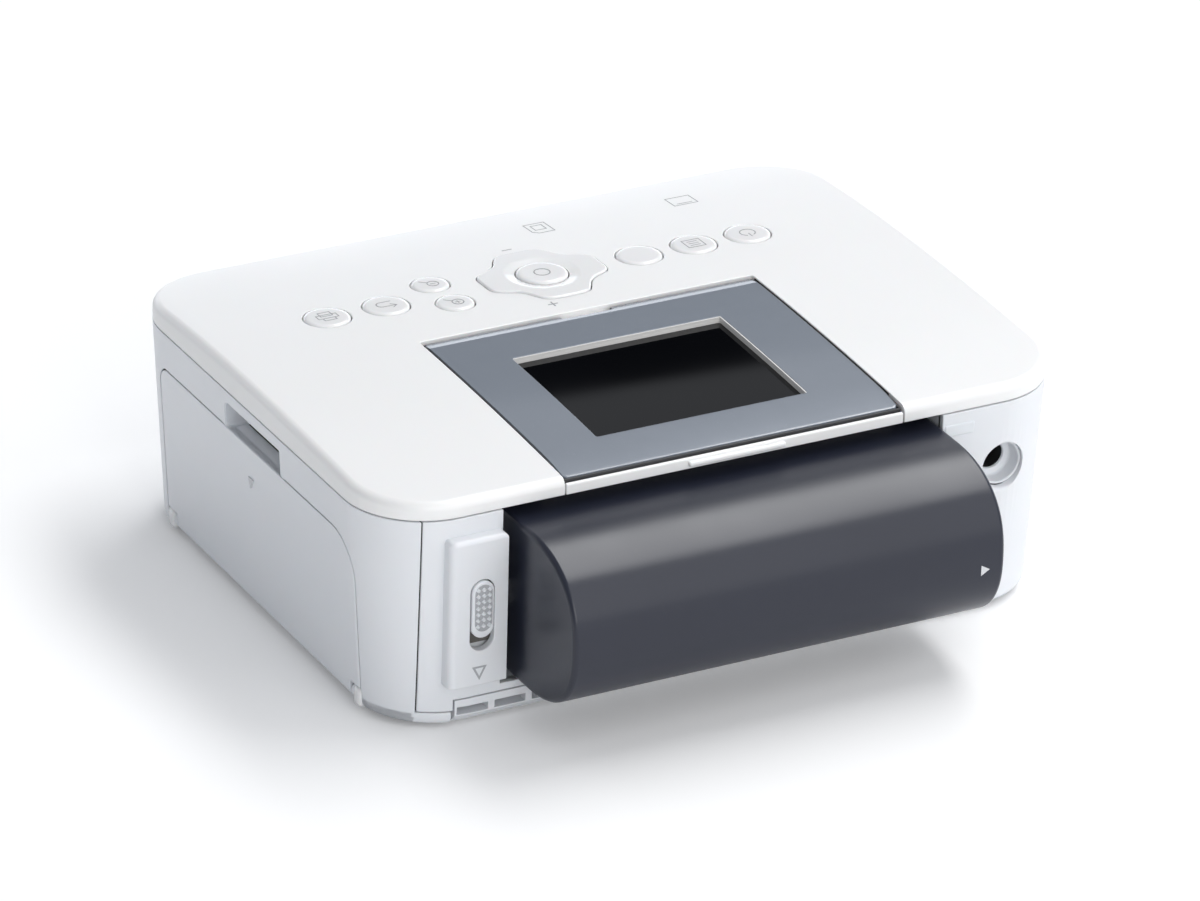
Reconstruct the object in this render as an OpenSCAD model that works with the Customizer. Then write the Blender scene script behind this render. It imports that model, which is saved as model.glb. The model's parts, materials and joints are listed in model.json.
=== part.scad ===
// Compact photo printer with a lift-up display, a clip-on battery pack at the rear,
// an ink door on the right side and a paper door at the front.
// X runs to the user's right, Y to the rear, Z up. The printer stands on its feet at Z = 0.

/* [Case] */
// Width of the case
case_w = 178; // [172:1:190]
// Depth of the case without the battery pack
case_d = 135; // [134:1:142]
// Height of the top at the highest line of its crown
case_h = 59.8; // [59.4:0.2:62]
// Height of the top cover, from the seam to its highest line
cover_h = 6.8; // [6.4:0.1:7.2]
// Radius of the four upright corners
corner_r = 19; // [14:1:24]
// Inward lean of the side walls, per millimetre of height
side_lean = 0.062; // [0:0.002:0.08]
// Thickness of the moulded walls
wall = 2.2; // [1.6:0.1:2.6]
// Fall of the crown from its highest line to the rear edge
rear_fall = 2.5; // [1:0.1:3]
// Fall of the crown from its highest line to the front edge
front_fall = 3; // [1:0.1:3.5]
// Rounding along the upper edge of the cover
edge_r = 2; // [1:0.1:2.6]
// Visible seam between neighbouring covers
seam_gap = 0.3; // [0.2:0.05:0.5]
// Height of the rubber feet
foot_h = 1.3; // [1:0.1:2]
// Radius of a rubber foot
foot_r = 6; // [4:0.5:8]

/* [Screen] */
// Width of the display unit
screen_w = 86.4; // [80:0.2:90]
// Front edge of the display unit, from the case centre
screen_front = -4.5; // [-5:0.1:-3.5]
// Thickness of the dark glass bezel
glass_t = 1; // [0.8:0.1:1.1]
// Width of the viewing window
window_w = 53.8; // [46:0.2:58]
// Depth of the viewing window
window_d = 41; // [36:0.5:44]
// Depth of the panel below the top of the glass
panel_drop = 1.9; // [1.6:0.1:2.4]
// Gap between the display unit and its well
well_gap = 0.4; // [0.3:0.05:0.6]
// Radius of the display hinge pin
hinge_r = 0.75; // [0.5:0.05:0.8]

/* [Buttons] */
// Diameter of the five round keys
key_d = 11.2; // [9:0.2:12]
// Diameter of the two zoom keys
zoom_d = 9.2; // [8:0.2:10]
// Diameter of the centre key
ok_d = 12.4; // [10:0.2:13]
// Gap round each key
key_gap = 0.25; // [0.15:0.05:0.4]
// Travel of a key
key_travel = 0.5; // [0.3:0.1:0.7]
// How far the keys stand above the cover
key_proud = 0.35; // [0.1:0.05:0.8]
// Width of the four-way pad
pad_w = 30.6; // [28:0.2:32]
// Depth of the four-way pad
pad_d = 28; // [26:0.2:29]
// Radius of the notches between the pad's arms
pad_notch_r = 9.2; // [8:0.1:9.6]

/* [Doors] */
// Front end of the ink door, from the case centre
ink_door_front = -45.3; // [-47:0.1:-44]
// Rear end of the ink door, from the case centre
ink_door_rear = 46.3; // [44:0.1:48]
// Distance of the top edge of the ink door below the seam
ink_door_drop = 9.6; // [9:0.1:11]
// Rounding of the upper rear corner of the ink door
ink_door_r = 10; // [4:0.5:14]
// Rounding of the upper front corner of the ink door
ink_door_front_r = 4; // [2:0.5:8]
// Distance from the paper door to the side of the case
paper_door_side = 29; // [28:1:32]
// Distance of the top edge of the paper door below the seam
paper_door_drop = 13.4; // [13:0.1:15]
// Radius of the barrels that the doors turn on
barrel_r = 1.9; // [1.7:0.05:1.95]
// Radius of the door pins
door_pin_r = 0.9; // [0.6:0.05:1]
// Gap round the doors
door_gap = 0.4; // [0.3:0.05:0.6]

/* [Battery] */
// Distance from the left side of the case to the battery pack
pack_left = 35.5; // [35:0.5:40]
// Distance from the battery pack to the right side of the case
pack_right = 32.5; // [32:0.5:36]
// Height of the underside of the battery pack
pack_low = 11.1; // [10.8:0.1:12]
// Distance of the top of the battery pack below the seam
pack_drop = 2.7; // [2.6:0.1:4]
// How far the pack stands out behind the case
pack_out = 30.5; // [24:0.5:34]
// Depth of the bay that the pack clips into
bay_depth = 7.2; // [5:0.2:7.4]
// Travel of the release slider
release_travel = 3; // [2:0.1:3.4]
// Width of the release slider
release_w = 5.5; // [4.5:0.1:6]
// Height of the release slider
release_h = 14.1; // [12:0.1:14.5]

/* [Mechanism] */
// Distance from a side plate to the side of the case
plate_side = 31; // [30.5:0.5:32]
// Thickness of the chassis sheet
sheet_t = 1.2; // [0.8:0.1:1.4]
// Slope of the paper path, as rise over run
path_rise = 0.155; // [0.15:0.001:0.16]
// Radius of the platen roller
platen_r = 5; // [4.4:0.1:5.2]
// Radius of the steel feed roller
feed_r = 3.5; // [3:0.1:3.6]
// Radius of the pinch roller
pinch_r = 2.4; // [1.8:0.1:2.5]
// Radius of the pick-up roller
pickup_r = 5; // [4:0.1:5.2]
// Running clearance of a shaft in its bearing
run_gap = 0.05; // [0.02:0.01:0.08]
// Radius of the cassette's two tubes
tube_r = 11.5; // [11:0.1:11.6]
// Distance between the two ribbon spools
spool_span = 44; // [44:0.5:46]
// Tooth module of the drive gears
tooth_m = 0.8; // [0.8:0.01:0.82]
// Width of the drive gears
gear_w = 4; // [3:0.5:5]
// Radius of the drive motor
motor_r = 11; // [8:0.5:11.5]
// Thickness of the circuit boards
board_t = 1.6; // [1:0.1:1.6]

/* [Hidden] */
$fn = 48;
cut = 0.05;

half_w = case_w / 2;
half_d = case_d / 2;
seam_z = case_h - cover_h;        // seam between the lower case and the top cover
base_z = foot_h;
base_round = 2;
floor_top = base_z + wall;
crown_y = -8;
corner_steps = 8;
side_steps = 6;

white = [0.93, 0.94, 0.95];
shade_white = [0.86, 0.87, 0.89];
slate = [0.29, 0.30, 0.33];
steel = [0.72, 0.73, 0.75];
rubber = [0.12, 0.12, 0.13];
board_green = [0.10, 0.35, 0.22];
dark = [0.16, 0.16, 0.18];

// Whole printer, moved so that the middle of its footprint, with the pack, is the origin
module framed() translate([0, -pack_out / 2, 0]) children();

// ---- shared shapes ----

// Polygon in Y and Z, drawn out along X
module along_x(x0, x1) translate([x0, 0, 0]) rotate([90, 0, 90]) linear_extrude(x1 - x0) children();

// Polygon in X and Z, drawn out along Y
module along_y(y0, y1) translate([0, y1, 0]) rotate([90, 0, 0]) linear_extrude(y1 - y0) children();

// Cylinder along X between two places, centred on a point of Y and Z
module rod_x(r, x0, x1, yz) translate([x0, yz.x, yz.y]) rotate([0, 90, 0]) cylinder(r = r, h = x1 - x0);

// Cylinder along Y
module rod_y(r, y0, y1, xz) translate([xz.x, y0, xz.y]) rotate([-90, 0, 0]) cylinder(r = r, h = y1 - y0);

// Box given by its two corners
module span(a, b) translate(a) cube(b - a);

function arc(c, r, a0, a1, n) = [for (i = [0:n]) let (a = a0 + (a1 - a0) * i / n)
  [c.x + r * cos(a), c.y + r * sin(a)]];

// Height of the crowned top over a place along the depth
function crown(y) = case_h - (y > crown_y
  ? rear_fall * pow((y - crown_y) / (half_d - crown_y), 2)
  : front_fall * pow((y - crown_y) / (half_d + crown_y), 2));

// How far a side wall has leaned in at a height
function lean(z) = side_lean * max(0, seam_z - z);

// Right half of the plan outline, from the front to the rear
function half_plan(inset, hx) = concat(
  arc([hx - corner_r, corner_r - half_d], corner_r - inset, -90, 0, corner_steps),
  [for (i = [1:side_steps - 1]) [hx - inset, (half_d - corner_r) * (2 * i / side_steps - 1)]],
  arc([hx - corner_r, half_d - corner_r], corner_r - inset, 0, 90, corner_steps));

function both_sides(half) = concat(half, [for (i = [len(half) - 1:-1:0]) [-half[i].x, half[i].y, half[i].z]]);

// Ring of the plan at one height, or following the crown at a drop below it
function flat_ring(inset, z) = both_sides([for (p = half_plan(inset, half_w - lean(z))) [p.x, p.y, z]]);
function crown_ring(inset, drop) = both_sides([for (p = half_plan(inset, half_w)) [p.x, p.y, crown(p.y) - drop]]);

// Solid through a stack of rings, closed across X at both ends
module stack(rings) {
  n = len(rings[0]);
  m = len(rings) - 1;
  points = [for (r = rings) for (p = r) p];
  sides = [for (k = [0:m - 1]) for (i = [0:n - 1]) for (t = [0, 1])
    let (j = (i + 1) % n)
    t == 0 ? [k * n + i, k * n + j, (k + 1) * n + j] : [k * n + i, (k + 1) * n + j, (k + 1) * n + i]];
  low = [for (i = [0:n / 2 - 2]) for (t = [0, 1]) t == 0 ? [i, n - 2 - i, i + 1] : [i, n - 1 - i, n - 2 - i]];
  high = [for (f = low) [f[0] + m * n, f[2] + m * n, f[1] + m * n]];
  polyhedron(points = points, faces = [for (f = concat(sides, low, high)) [f[2], f[1], f[0]]]);
}

// Form of the lower case between two heights
module case_form(inset) stack([flat_ring(inset + base_round, base_z), flat_ring(inset, base_z + base_round),
  flat_ring(inset, seam_z)]);

// Room inside the lower case, running out at both ends
module case_room(inset) stack([flat_ring(inset, base_z - 1), flat_ring(inset, seam_z + 1)]);

// Form of the crowned top, from a height upwards
module top_form(inset, z0) stack(concat([flat_ring(inset, z0)],
  [for (j = [0:4]) let (a = j * 22.5) crown_ring(inset + edge_r * (1 - cos(a)), inset + edge_r * (1 - sin(a)))]));

module case_walls() difference() {
  case_form(0);
  case_room(wall);
}

// ---- top cover ----

floor_z = seam_z;                 // top of the well floor under the display unit
floor_t = 1.4;
well_half = screen_w / 2 + well_gap;
well_front = screen_front - well_gap - 0.1;
well_wall = 1.4;
well_rear = half_d - 7.5;
hinge = [screen_front + 1.8, crown(screen_front) - 2.15];   // Y and Z of the display hinge
knuckle_r = hinge_r + 0.75;
knuckle_x = [-5.4, 7.2];

key_y = -26.3;
pad_xy = [0.6, -26.8];
zoom_out_xy = [26.9, -32.8];
zoom_in_xy = [26.4, -20.8];
// Places of the five round keys along the width: print, back, edit, menu and power
key_x = [56.8, 41.6, -24.9, -39.5, -54];
board_top = seam_z - 1.2;
button_board_t = 1.2;
dome_h = 0.7;
flange_h = 1.2;
flange_lip = 0.9;
cover_in = wall + 0.2;
boss_r = 2.2;
boss_xy = [for (x = [-1, 1]) for (y = [-39.5, -13]) [x * (key_x[0] + 8), y]];

module pad_plan(grow) difference() {
  square([pad_w + 2 * grow, pad_d + 2 * grow], center = true);
  for (x = [-1, 1]) for (y = [-1, 1]) translate([x * (pad_w / 2 + grow), y * (pad_d / 2 + grow)])
    circle(r = pad_notch_r);
}

module key_hole(xy, d) translate([xy.x, xy.y, seam_z]) cylinder(d = d + 2 * key_gap, h = 20);

module top_cover() color(white) difference() {
  union() {
    difference() {
      top_form(0, seam_z + seam_gap);
      top_form(wall, seam_z - 1);
    }
    intersection() {
      top_form(0, floor_z - floor_t);
      span([-well_half - well_wall, well_front - well_wall, floor_z - floor_t],
        [well_half + well_wall, half_d + 1, case_h]);
    }
    for (p = boss_xy) translate([p.x, p.y, board_top])
      cylinder(r = boss_r, h = crown(p.y) - wall / 2 - board_top);
  }
  difference() {
    span([-well_half, well_front, floor_z], [well_half, half_d + 5, case_h + 5]);
    intersection() {
      union() {
        rod_x(knuckle_r, knuckle_x[0], knuckle_x[1], hinge);
        span([knuckle_x[0], well_front - 1, hinge.y - knuckle_r],
          [knuckle_x[1], hinge.x, hinge.y]);
      }
      span([-well_half, well_front - 1, floor_z], [well_half, half_d, crown(screen_front)]);
    }
  }
  span([-well_half - well_wall - 1, well_rear, floor_z - floor_t - 1],
    [well_half + well_wall + 1, half_d + 1, floor_z + seam_gap]);
  rod_x(hinge_r + 0.02, knuckle_x[0] - 1, knuckle_x[1] + 1, hinge);
  for (x = key_x) key_hole([x, key_y], key_d);
  key_hole(zoom_out_xy, zoom_d);
  key_hole(zoom_in_xy, zoom_d);
  translate([pad_xy.x, pad_xy.y, seam_z]) linear_extrude(20) pad_plan(key_gap);
}

// ---- display unit ----

rear_curve_y = half_d - 13.5;
rear_curve = 0.9;
unit_rear = half_d;
strip_t = 0.9;
unit_bottom = floor_z + 0.3;
window_x = 0.85;
window_y = [screen_front + 16, screen_front + 16 + window_d];
bevel = 1;
panel_margin = 2;
panel_t = 2.2;
panel_top = crown(window_y[1]) - 0.1 - panel_drop + 0.5;

// Height of the glass over a place along the depth
function unit_top(y) = crown(y) - 0.1
  - (y > rear_curve_y ? rear_curve * pow((y - rear_curve_y) / (unit_rear - rear_curve_y), 2) : 0);

function unit_line(y0, y1, drop) = [for (i = [0:16]) let (y = y0 + (y1 - y0) * i / 16) [y, unit_top(y) - drop]];
function flipped(list) = [for (i = [len(list) - 1:-1:0]) list[i]];

module hinge_notch() span([knuckle_x[0] - 0.3, screen_front - 1, unit_bottom - 1],
  [knuckle_x[1] + 0.3, hinge.x + knuckle_r + 0.3, case_h + 1]);

module screen_housing() color(white) difference() {
  union() {
    along_x(-screen_w / 2, screen_w / 2) polygon(concat(
      unit_line(screen_front + 0.3, unit_rear - strip_t, glass_t + 0.06),
      [[unit_rear - strip_t, unit_top(unit_rear) - 0.1], [unit_rear, unit_top(unit_rear) - 0.3],
       [unit_rear, unit_bottom], [screen_front + 1.8, unit_bottom], [screen_front + 0.3, unit_bottom + 1.4]]));
    span([-12.4, unit_rear - 0.5, unit_bottom + 0.7], [12.4, unit_rear + 0.9, unit_bottom + 2]);
  }
  span([window_x - window_w / 2 - panel_margin - 0.2, window_y[0] - panel_margin - 0.2, panel_top - panel_t],
    [window_x + window_w / 2 + panel_margin + 0.2, window_y[1] + panel_margin + 0.2, case_h]);
  hinge_notch();
  rod_x(hinge_r + run_gap, -22, 24, hinge);
}

module screen_glass() color(slate) difference() {
  along_x(-screen_w / 2, screen_w / 2) polygon(concat(
    [[screen_front, unit_top(screen_front) - bevel]],
    unit_line(screen_front + bevel, unit_rear - strip_t - 0.3, 0),
    flipped(unit_line(screen_front, unit_rear - strip_t - 0.3, glass_t))));
  span([window_x - window_w / 2, window_y[0], seam_z], [window_x + window_w / 2, window_y[1], case_h + 1]);
  hinge_notch();
}

module lcd_panel() color(dark)
  span([window_x - window_w / 2 - panel_margin, window_y[0] - panel_margin, panel_top - panel_t],
    [window_x + window_w / 2 + panel_margin, window_y[1] + panel_margin, panel_top]);

module screen_hinge_pin() color(steel) rod_x(hinge_r, -21, 23, hinge);

// Flat cable from the button board under the display unit's front edge
module screen_flex() color([0.75, 0.45, 0.15])
  span([-12, well_front - well_wall - 3.6, board_top], [-2, well_front - well_wall - 0.2, board_top + 0.2]);

// ---- keys ----

module key(xy, d, proud) {
  top = crown(xy.y) + proud;
  under = crown(xy.y) - cover_in - 0.1;
  translate([xy.x, xy.y, 0]) {
    translate([0, 0, under - flange_h]) cylinder(d = d, h = top - under + flange_h);
    translate([0, 0, under - flange_h]) cylinder(r = d / 2 + flange_lip, h = flange_h);
    translate([0, 0, board_top + dome_h + key_travel + 0.1])
      cylinder(r = 1.8, h = under - flange_h - board_top - dome_h - key_travel);
  }
}

module print_button() color(white) key([key_x[0], key_y], key_d, key_proud);
module back_button() color(white) key([key_x[1], key_y], key_d, key_proud);
module edit_button() color(white) key([key_x[2], key_y], key_d, key_proud);
module menu_button() color(white) key([key_x[3], key_y], key_d, key_proud);
module power_button() color(white) key([key_x[4], key_y], key_d, key_proud);
module zoom_out_button() color(white) key(zoom_out_xy, zoom_d, key_proud);
module zoom_in_button() color(white) key(zoom_in_xy, zoom_d, key_proud);

pad_top = crown(pad_xy.y) + key_proud + 0.25;
pad_t = 2.2;
ok_hole = ok_d / 2 + key_gap + 0.05;
ring_t = 1;

module ok_button() color(white) translate([pad_xy.x, pad_xy.y, 0]) {
  base = board_top + dome_h + key_travel + 0.1;
  translate([0, 0, base]) cylinder(d = ok_d, h = pad_top + 0.15 - base);
}

module direction_pad() color(white) difference() {
  translate([pad_xy.x, pad_xy.y, pad_top - pad_t]) linear_extrude(pad_t) pad_plan(0);
  translate([pad_xy.x, pad_xy.y, 0]) cylinder(r = ok_hole, h = case_h + 5);
}

// Ring that carries the pad and tips fore and aft
module pad_rocker_ring() color(shade_white) translate([pad_xy.x, pad_xy.y, pad_top - pad_t - 0.3 - ring_t])
  difference() {
    cylinder(r = ok_hole + 2.4, h = ring_t);
    translate([0, 0, -1]) cylinder(r = ok_hole, h = ring_t + 2);
  }

module button_board() color(board_green) difference() {
  union() {
    span([-boss_xy[3].x - 3, boss_xy[0].y - 3, board_top - button_board_t],
      [boss_xy[3].x + 3, boss_xy[1].y + 3, board_top]);
    for (p = concat([for (x = key_x) [x, key_y]], [zoom_out_xy, zoom_in_xy, pad_xy]))
      translate([p.x, p.y, board_top - 0.1]) cylinder(r = 2, h = dome_h + 0.1);
    // Four posts under the pad's arms
    for (a = [0:90:270]) translate([pad_xy.x, pad_xy.y, board_top - 0.1]) rotate([0, 0, a])
      translate([10.6, 0, 0]) cylinder(r = 1.2, h = pad_top - pad_t - 0.6 - board_top);
    // Seat of the rocker ring
    translate([pad_xy.x, pad_xy.y, board_top - 0.1]) difference() {
      cylinder(r = ok_hole + 1.6, h = pad_top - pad_t - 0.6 - ring_t - board_top);
      translate([0, 0, -1]) cylinder(r = ok_hole + 0.4, h = 20);
    }
  }
}

// ---- lower case covers ----

rear_seam_x = half_w - 10.7;
heel_z = 4.5;                     // top of the right cover's heel below the rear panel
front_seam_x = half_w - 18.5;
left_seam_y = 38;
far = 100;

// Upright prism that picks a stretch of the walls
module region(points) translate([0, 0, -5]) linear_extrude(seam_z + 5) polygon(points);

ink_hinge = [half_w - lean(barrel_r + 2) - barrel_r - 0.06, barrel_r + 2];   // X and Z of the ink door hinge
paper_hinge = [barrel_r + 0.06 - half_d, barrel_r + 2];                      // Y and Z of the paper door hinge
knuckle_w = 4;

// Outline of the ink door in Y and Z; the knuckles of its hinge sit in its lower corners
function ink_outline(grow) = concat(
  [[ink_door_front - knuckle_w - 2 * door_gap - grow, -3], [ink_door_rear + knuckle_w + 2 * door_gap + grow, -3]],
  arc([ink_door_rear + knuckle_w + 2 * door_gap - ink_door_r, ink_door_top - ink_door_r],
    ink_door_r + grow, 0, 90, 8),
  arc([ink_door_front - knuckle_w - 2 * door_gap + ink_door_front_r, ink_door_top - ink_door_front_r],
    ink_door_front_r + grow, 90, 180, 6));

ink_door_top = seam_z - ink_door_drop;
notch_half = 14.5;
notch_top = ink_door_top + 6.6;
notch_depth = 6;
notch_wall = 1.2;

module ink_knuckles() intersection() {
  for (y = [[ink_door_front - 3 * door_gap - knuckle_w - 1, ink_door_front - door_gap],
      [ink_door_rear + door_gap, ink_door_rear + 3 * door_gap + knuckle_w + 1]])
    rod_y(barrel_r, y[0], y[1], ink_hinge);
  case_form(0);
}

module right_cover() color(shade_white) difference() {
  union() {
    difference() {
      intersection() {
        case_walls();
        union() {
          region([[front_seam_x, -far], [far, -far], [far, far], [rear_seam_x, far], [rear_seam_x, 50],
            [60, 50], [60, 0], [front_seam_x, 0]]);
          span([latch_x[1] - 2.5, 50, 0], [far, far, heel_z]);
        }
      }
      along_x(60, far) polygon(ink_outline(door_gap));
    }
    ink_knuckles();
    intersection() {
      case_form(0);
      span([half_w - notch_depth - notch_wall - 1.2, -notch_half - notch_wall, ink_door_top + door_gap],
        [half_w + 1, notch_half + notch_wall, notch_top + notch_wall]);
    }
  }
  // Finger notch above the door, with a sloping roof
  along_y(-notch_half, notch_half) polygon([[half_w + 2, ink_door_top - 1],
    [half_w - notch_depth - 1, ink_door_top - 1], [half_w - notch_depth - 1, notch_top - 3],
    [half_w - notch_depth + 2, notch_top], [half_w + 2, notch_top]]);
  for (y = [ink_door_front - door_gap - knuckle_w, ink_door_rear + door_gap - 1])
    rod_y(door_pin_r + 0.02, y, y + knuckle_w + 1, ink_hinge);
}

module ink_door() color(shade_white) difference() {
  union() {
    intersection() {
      case_walls();
      along_x(60, far) polygon(ink_outline(0));
      union() {
        span([60, ink_door_front, ink_hinge.y], [far, ink_door_rear, far]);
        span([60, -far, ink_hinge.y + barrel_r + door_gap + 0.2], [far, far, far]);
      }
    }
    rod_y(barrel_r, ink_door_front, ink_door_rear, ink_hinge);
    // Finger lip behind the notch
    intersection() {
      case_form(0.2);
      span([half_w - notch_depth, -notch_half + 1, ink_door_top - 1.4],
        [half_w + 1, notch_half - 1, ink_door_top]);
    }
  }
  for (y = [ink_door_front - 1, ink_door_rear - knuckle_w])
    rod_y(door_pin_r + run_gap, y, y + knuckle_w + 1, ink_hinge);
}

module ink_door_pins() color(steel) {
  rod_y(door_pin_r, ink_door_front - door_gap - knuckle_w + 0.2, ink_door_front + knuckle_w - 0.2, ink_hinge);
  rod_y(door_pin_r, ink_door_rear - knuckle_w + 0.2, ink_door_rear + door_gap + knuckle_w - 0.2, ink_hinge);
}

port_y = [-14, 6];
port_z = 20;
port_size = [[13.4, 5.6], [8.2, 4.4]];

module left_cover() color(shade_white) difference() {
  intersection() {
    case_walls();
    region([[-far, left_seam_y - seam_gap], [-60, left_seam_y - seam_gap], [-60, 0], [-front_seam_x, 0],
      [-front_seam_x, -far], [-far, -far]]);
  }
  for (i = [0, 1]) translate([-half_w, port_y[i], port_z])
    cube([20, port_size[i].x + 0.4, port_size[i].y + 0.4], center = true);
  // Cooling slots
  for (i = [0:7]) span([-far, -36 + i * 5, seam_z - 19], [8 - half_w, -33.6 + i * 5, seam_z - 9]);
}

paper_x = 2;
paper_door_w = case_w - 2 * paper_door_side;
paper_door_top = seam_z - paper_door_drop;
door_half = paper_door_w / 2;
card_z = [seam_z - 10.2, seam_z - 5.2];
card_wide = [41.5 - half_w, 43.6];    // middle and width of each card slot
card_narrow = [card_wide[0] + 36.7, 24.8];

module paper_knuckles() for (x = [[paper_x - door_half - door_gap - knuckle_w, paper_x - door_half - door_gap],
    [paper_x + door_half + door_gap, paper_x + door_half + door_gap + knuckle_w]])
  rod_x(barrel_r, x[0], x[1], paper_hinge);

module front_cover() color(shade_white) difference() {
  union() {
    difference() {
      intersection() {
        case_walls();
        region([[seam_gap - front_seam_x, -far], [seam_gap - front_seam_x, -40],
          [front_seam_x - seam_gap, -40], [front_seam_x - seam_gap, -far]]);
      }
      span([paper_x - door_half - door_gap, -far, -3], [paper_x + door_half + door_gap, 0, paper_door_top + door_gap]);
    }
    paper_knuckles();
  }
  for (x = [paper_x - door_half - door_gap - knuckle_w - 1, paper_x + door_half + door_gap - 1])
    rod_x(door_pin_r + 0.02, x, x + knuckle_w + 2, paper_hinge);
  // Two card slots above the door
  span([card_wide[0] - card_wide[1] / 2, -far, card_z[0] + 1.2], [card_wide[0] + card_wide[1] / 2, -50, card_z[1] - 0.2]);
  span([card_narrow[0] - card_narrow[1] / 2, -far, card_z[0] + 1.6], [card_narrow[0] + card_narrow[1] / 2, -50, card_z[1] - 0.8]);
}

module paper_door() color(shade_white) difference() {
  union() {
    span([paper_x - door_half, -half_d, paper_hinge.y], [paper_x + door_half, -half_d + wall, paper_door_top]);
    rod_x(barrel_r, paper_x - door_half, paper_x + door_half, paper_hinge);
    // Stiffening rim along the top edge
    span([paper_x - door_half + 3, -half_d + wall - 0.5, paper_door_top - 3],
      [paper_x + door_half - 3, -half_d + wall + 1.6, paper_door_top - 1.6]);
  }
  for (x = [paper_x - door_half - 1, paper_x + door_half - knuckle_w])
    rod_x(door_pin_r + run_gap, x, x + knuckle_w + 1, paper_hinge);
  // Thumb scoop
  span([paper_x - 9, -half_d - 1, paper_door_top - 2.4], [paper_x + 9, -half_d + 1, paper_door_top + 1]);
}

module paper_door_pins() color(steel) {
  rod_x(door_pin_r, paper_x - door_half - door_gap - knuckle_w + 0.2, paper_x - door_half + knuckle_w - 0.2, paper_hinge);
  rod_x(door_pin_r, paper_x + door_half - knuckle_w + 0.2, paper_x + door_half + door_gap + knuckle_w - 0.2, paper_hinge);
}

// ---- rear cover, bay and latch ----

pack_x = [pack_left - half_w, half_w - pack_right];
pack_in = half_d - bay_depth;
pack_z = [pack_low, seam_z - pack_drop];
pack_mid = (pack_z[0] + pack_z[1]) / 2;
bay_x = [pack_x[0] - 0.3, pack_x[1] + 2.4];
bay_wall = 2;
bay_low = 9.4;
shelf_z = 7.6;
slot_low = seam_z - 3;
jack_xz = [18 - half_w, seam_z - 16.5];
jack_bore_r = 4;
latch_x = [bay_x[1], bay_x[1] + 14.4];
latch_z = [12, seam_z - 4.4];
latch_y = half_d + 3.1;
latch_wall = 2.1;
release_xz = [latch_x[0] + 6.4, (latch_z[0] + latch_z[1]) / 2 + 0.7];
hook_z = [pack_mid - 2.7, pack_mid + 3.3];
hook_y = [pack_in + 1.9, pack_in + 5];

module obround(w, h) {
  square([w, h - w], center = true);
  for (s = [-1, 1]) translate([0, s * (h - w) / 2]) circle(d = w);
}

module rear_cover() color(shade_white) difference() {
  union() {
    difference() {
      intersection() {
        case_walls();
        region([[rear_seam_x - seam_gap, far], [rear_seam_x - seam_gap, 50], [0, 40], [-60, left_seam_y],
          [-far, left_seam_y], [-far, far]]);
      }
      // Mouth of the bay and the shelf below it
      span([bay_x[0], 40, bay_low], [bay_x[1], far, far]);
      span([bay_x[0] - 3, 40, -5], [latch_x[1] - 2.8, far, shelf_z]);
      span([latch_x[1] - 3.3, 50, -5], [far, far, heel_z + seam_gap]);
    }
    // Back, ends and floor of the bay
    span([bay_x[0] - bay_wall, pack_in - 0.3 - bay_wall, shelf_z], [bay_x[1] + bay_wall, pack_in - 0.3, slot_low]);
    for (x = [bay_x[0] - bay_wall, bay_x[1]])
      span([x, pack_in - 0.3 - bay_wall, shelf_z], [x + bay_wall, half_d - 1, seam_z - seam_gap]);
    span([bay_x[0] - 1, pack_in - 1, shelf_z], [bay_x[1] + 1, half_d - 0.6, bay_low]);
    // Raised block round the release slider
    translate([0, 0, latch_z[0]]) linear_extrude(latch_z[1] - latch_z[0]) polygon([[latch_x[0], latch_y],
      [latch_x[1] - 1.6, latch_y], [latch_x[1], latch_y - 1.6], [latch_x[1], half_d - wall - 1],
      [latch_x[0], half_d - wall - 1]]);
    // Collar of the power inlet
    rod_y(7, half_d - wall - 1, half_d - wall + 0.5, jack_xz);
  }
  // Room for the slider behind the block's face
  span([latch_x[0] + bay_wall, pack_in, latch_z[0] + 2], [latch_x[1] - 2, latch_y - latch_wall, latch_z[1] - 2]);
  translate([release_xz.x, latch_y + 1, release_xz.y - release_travel / 2]) rotate([90, 0, 0])
    linear_extrude(latch_wall + 3) obround(release_w + 0.5, release_h + release_travel + 0.6);
  // Way through for the hook
  span([latch_x[0] - 1, hook_y[0] - 0.3, hook_z[0] - release_travel - 0.4],
    [latch_x[0] + bay_wall + 1, hook_y[1] + 0.3, hook_z[1] + 0.4]);
  // Contact window
  span([-36, pack_in - 5, 15], [-14, pack_in + 1, 25]);
  rod_y(6, half_d - 1.2, half_d + 5, jack_xz);
  rod_y(jack_bore_r + 1.6, half_d - 10, half_d + 5, jack_xz);
}

module battery_release() color(shade_white) {
  translate([release_xz.x, latch_y + 0.5, release_xz.y]) rotate([90, 0, 0])
    linear_extrude(latch_wall + 0.5) obround(release_w, release_h);
  span([latch_x[0] + bay_wall + 0.4, latch_y - latch_wall - 1.6, release_xz.y - 9.4],
    [latch_x[1] - 2.4, latch_y - latch_wall - 0.2, release_xz.y + 9.4]);
  span([release_xz.x - 2, latch_y - latch_wall - 0.3, release_xz.y - 5],
    [release_xz.x + 2, latch_y - latch_wall + 0.2, release_xz.y + 5]);
  // Diamond knurl
  for (r = [-3:3]) for (c = [-1:1]) translate([release_xz.x + c * 1.5, latch_y + 0.55, release_xz.y + r * 1.6])
    rotate([0, 45, 0]) cube([0.8, 0.5, 0.8], center = true);
}

module latch_hook() color(steel) {
  plate_y = latch_y - latch_wall - 1.6;
  span([latch_x[0] + bay_wall + 0.6, hook_y[0], hook_z[0]], [latch_x[0] + bay_wall + 3, plate_y, hook_z[1]]);
  span([pack_x[1] - 1.6, hook_y[0], hook_z[0]], [latch_x[0] + bay_wall + 0.7, hook_y[1], hook_z[1]]);
}

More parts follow.
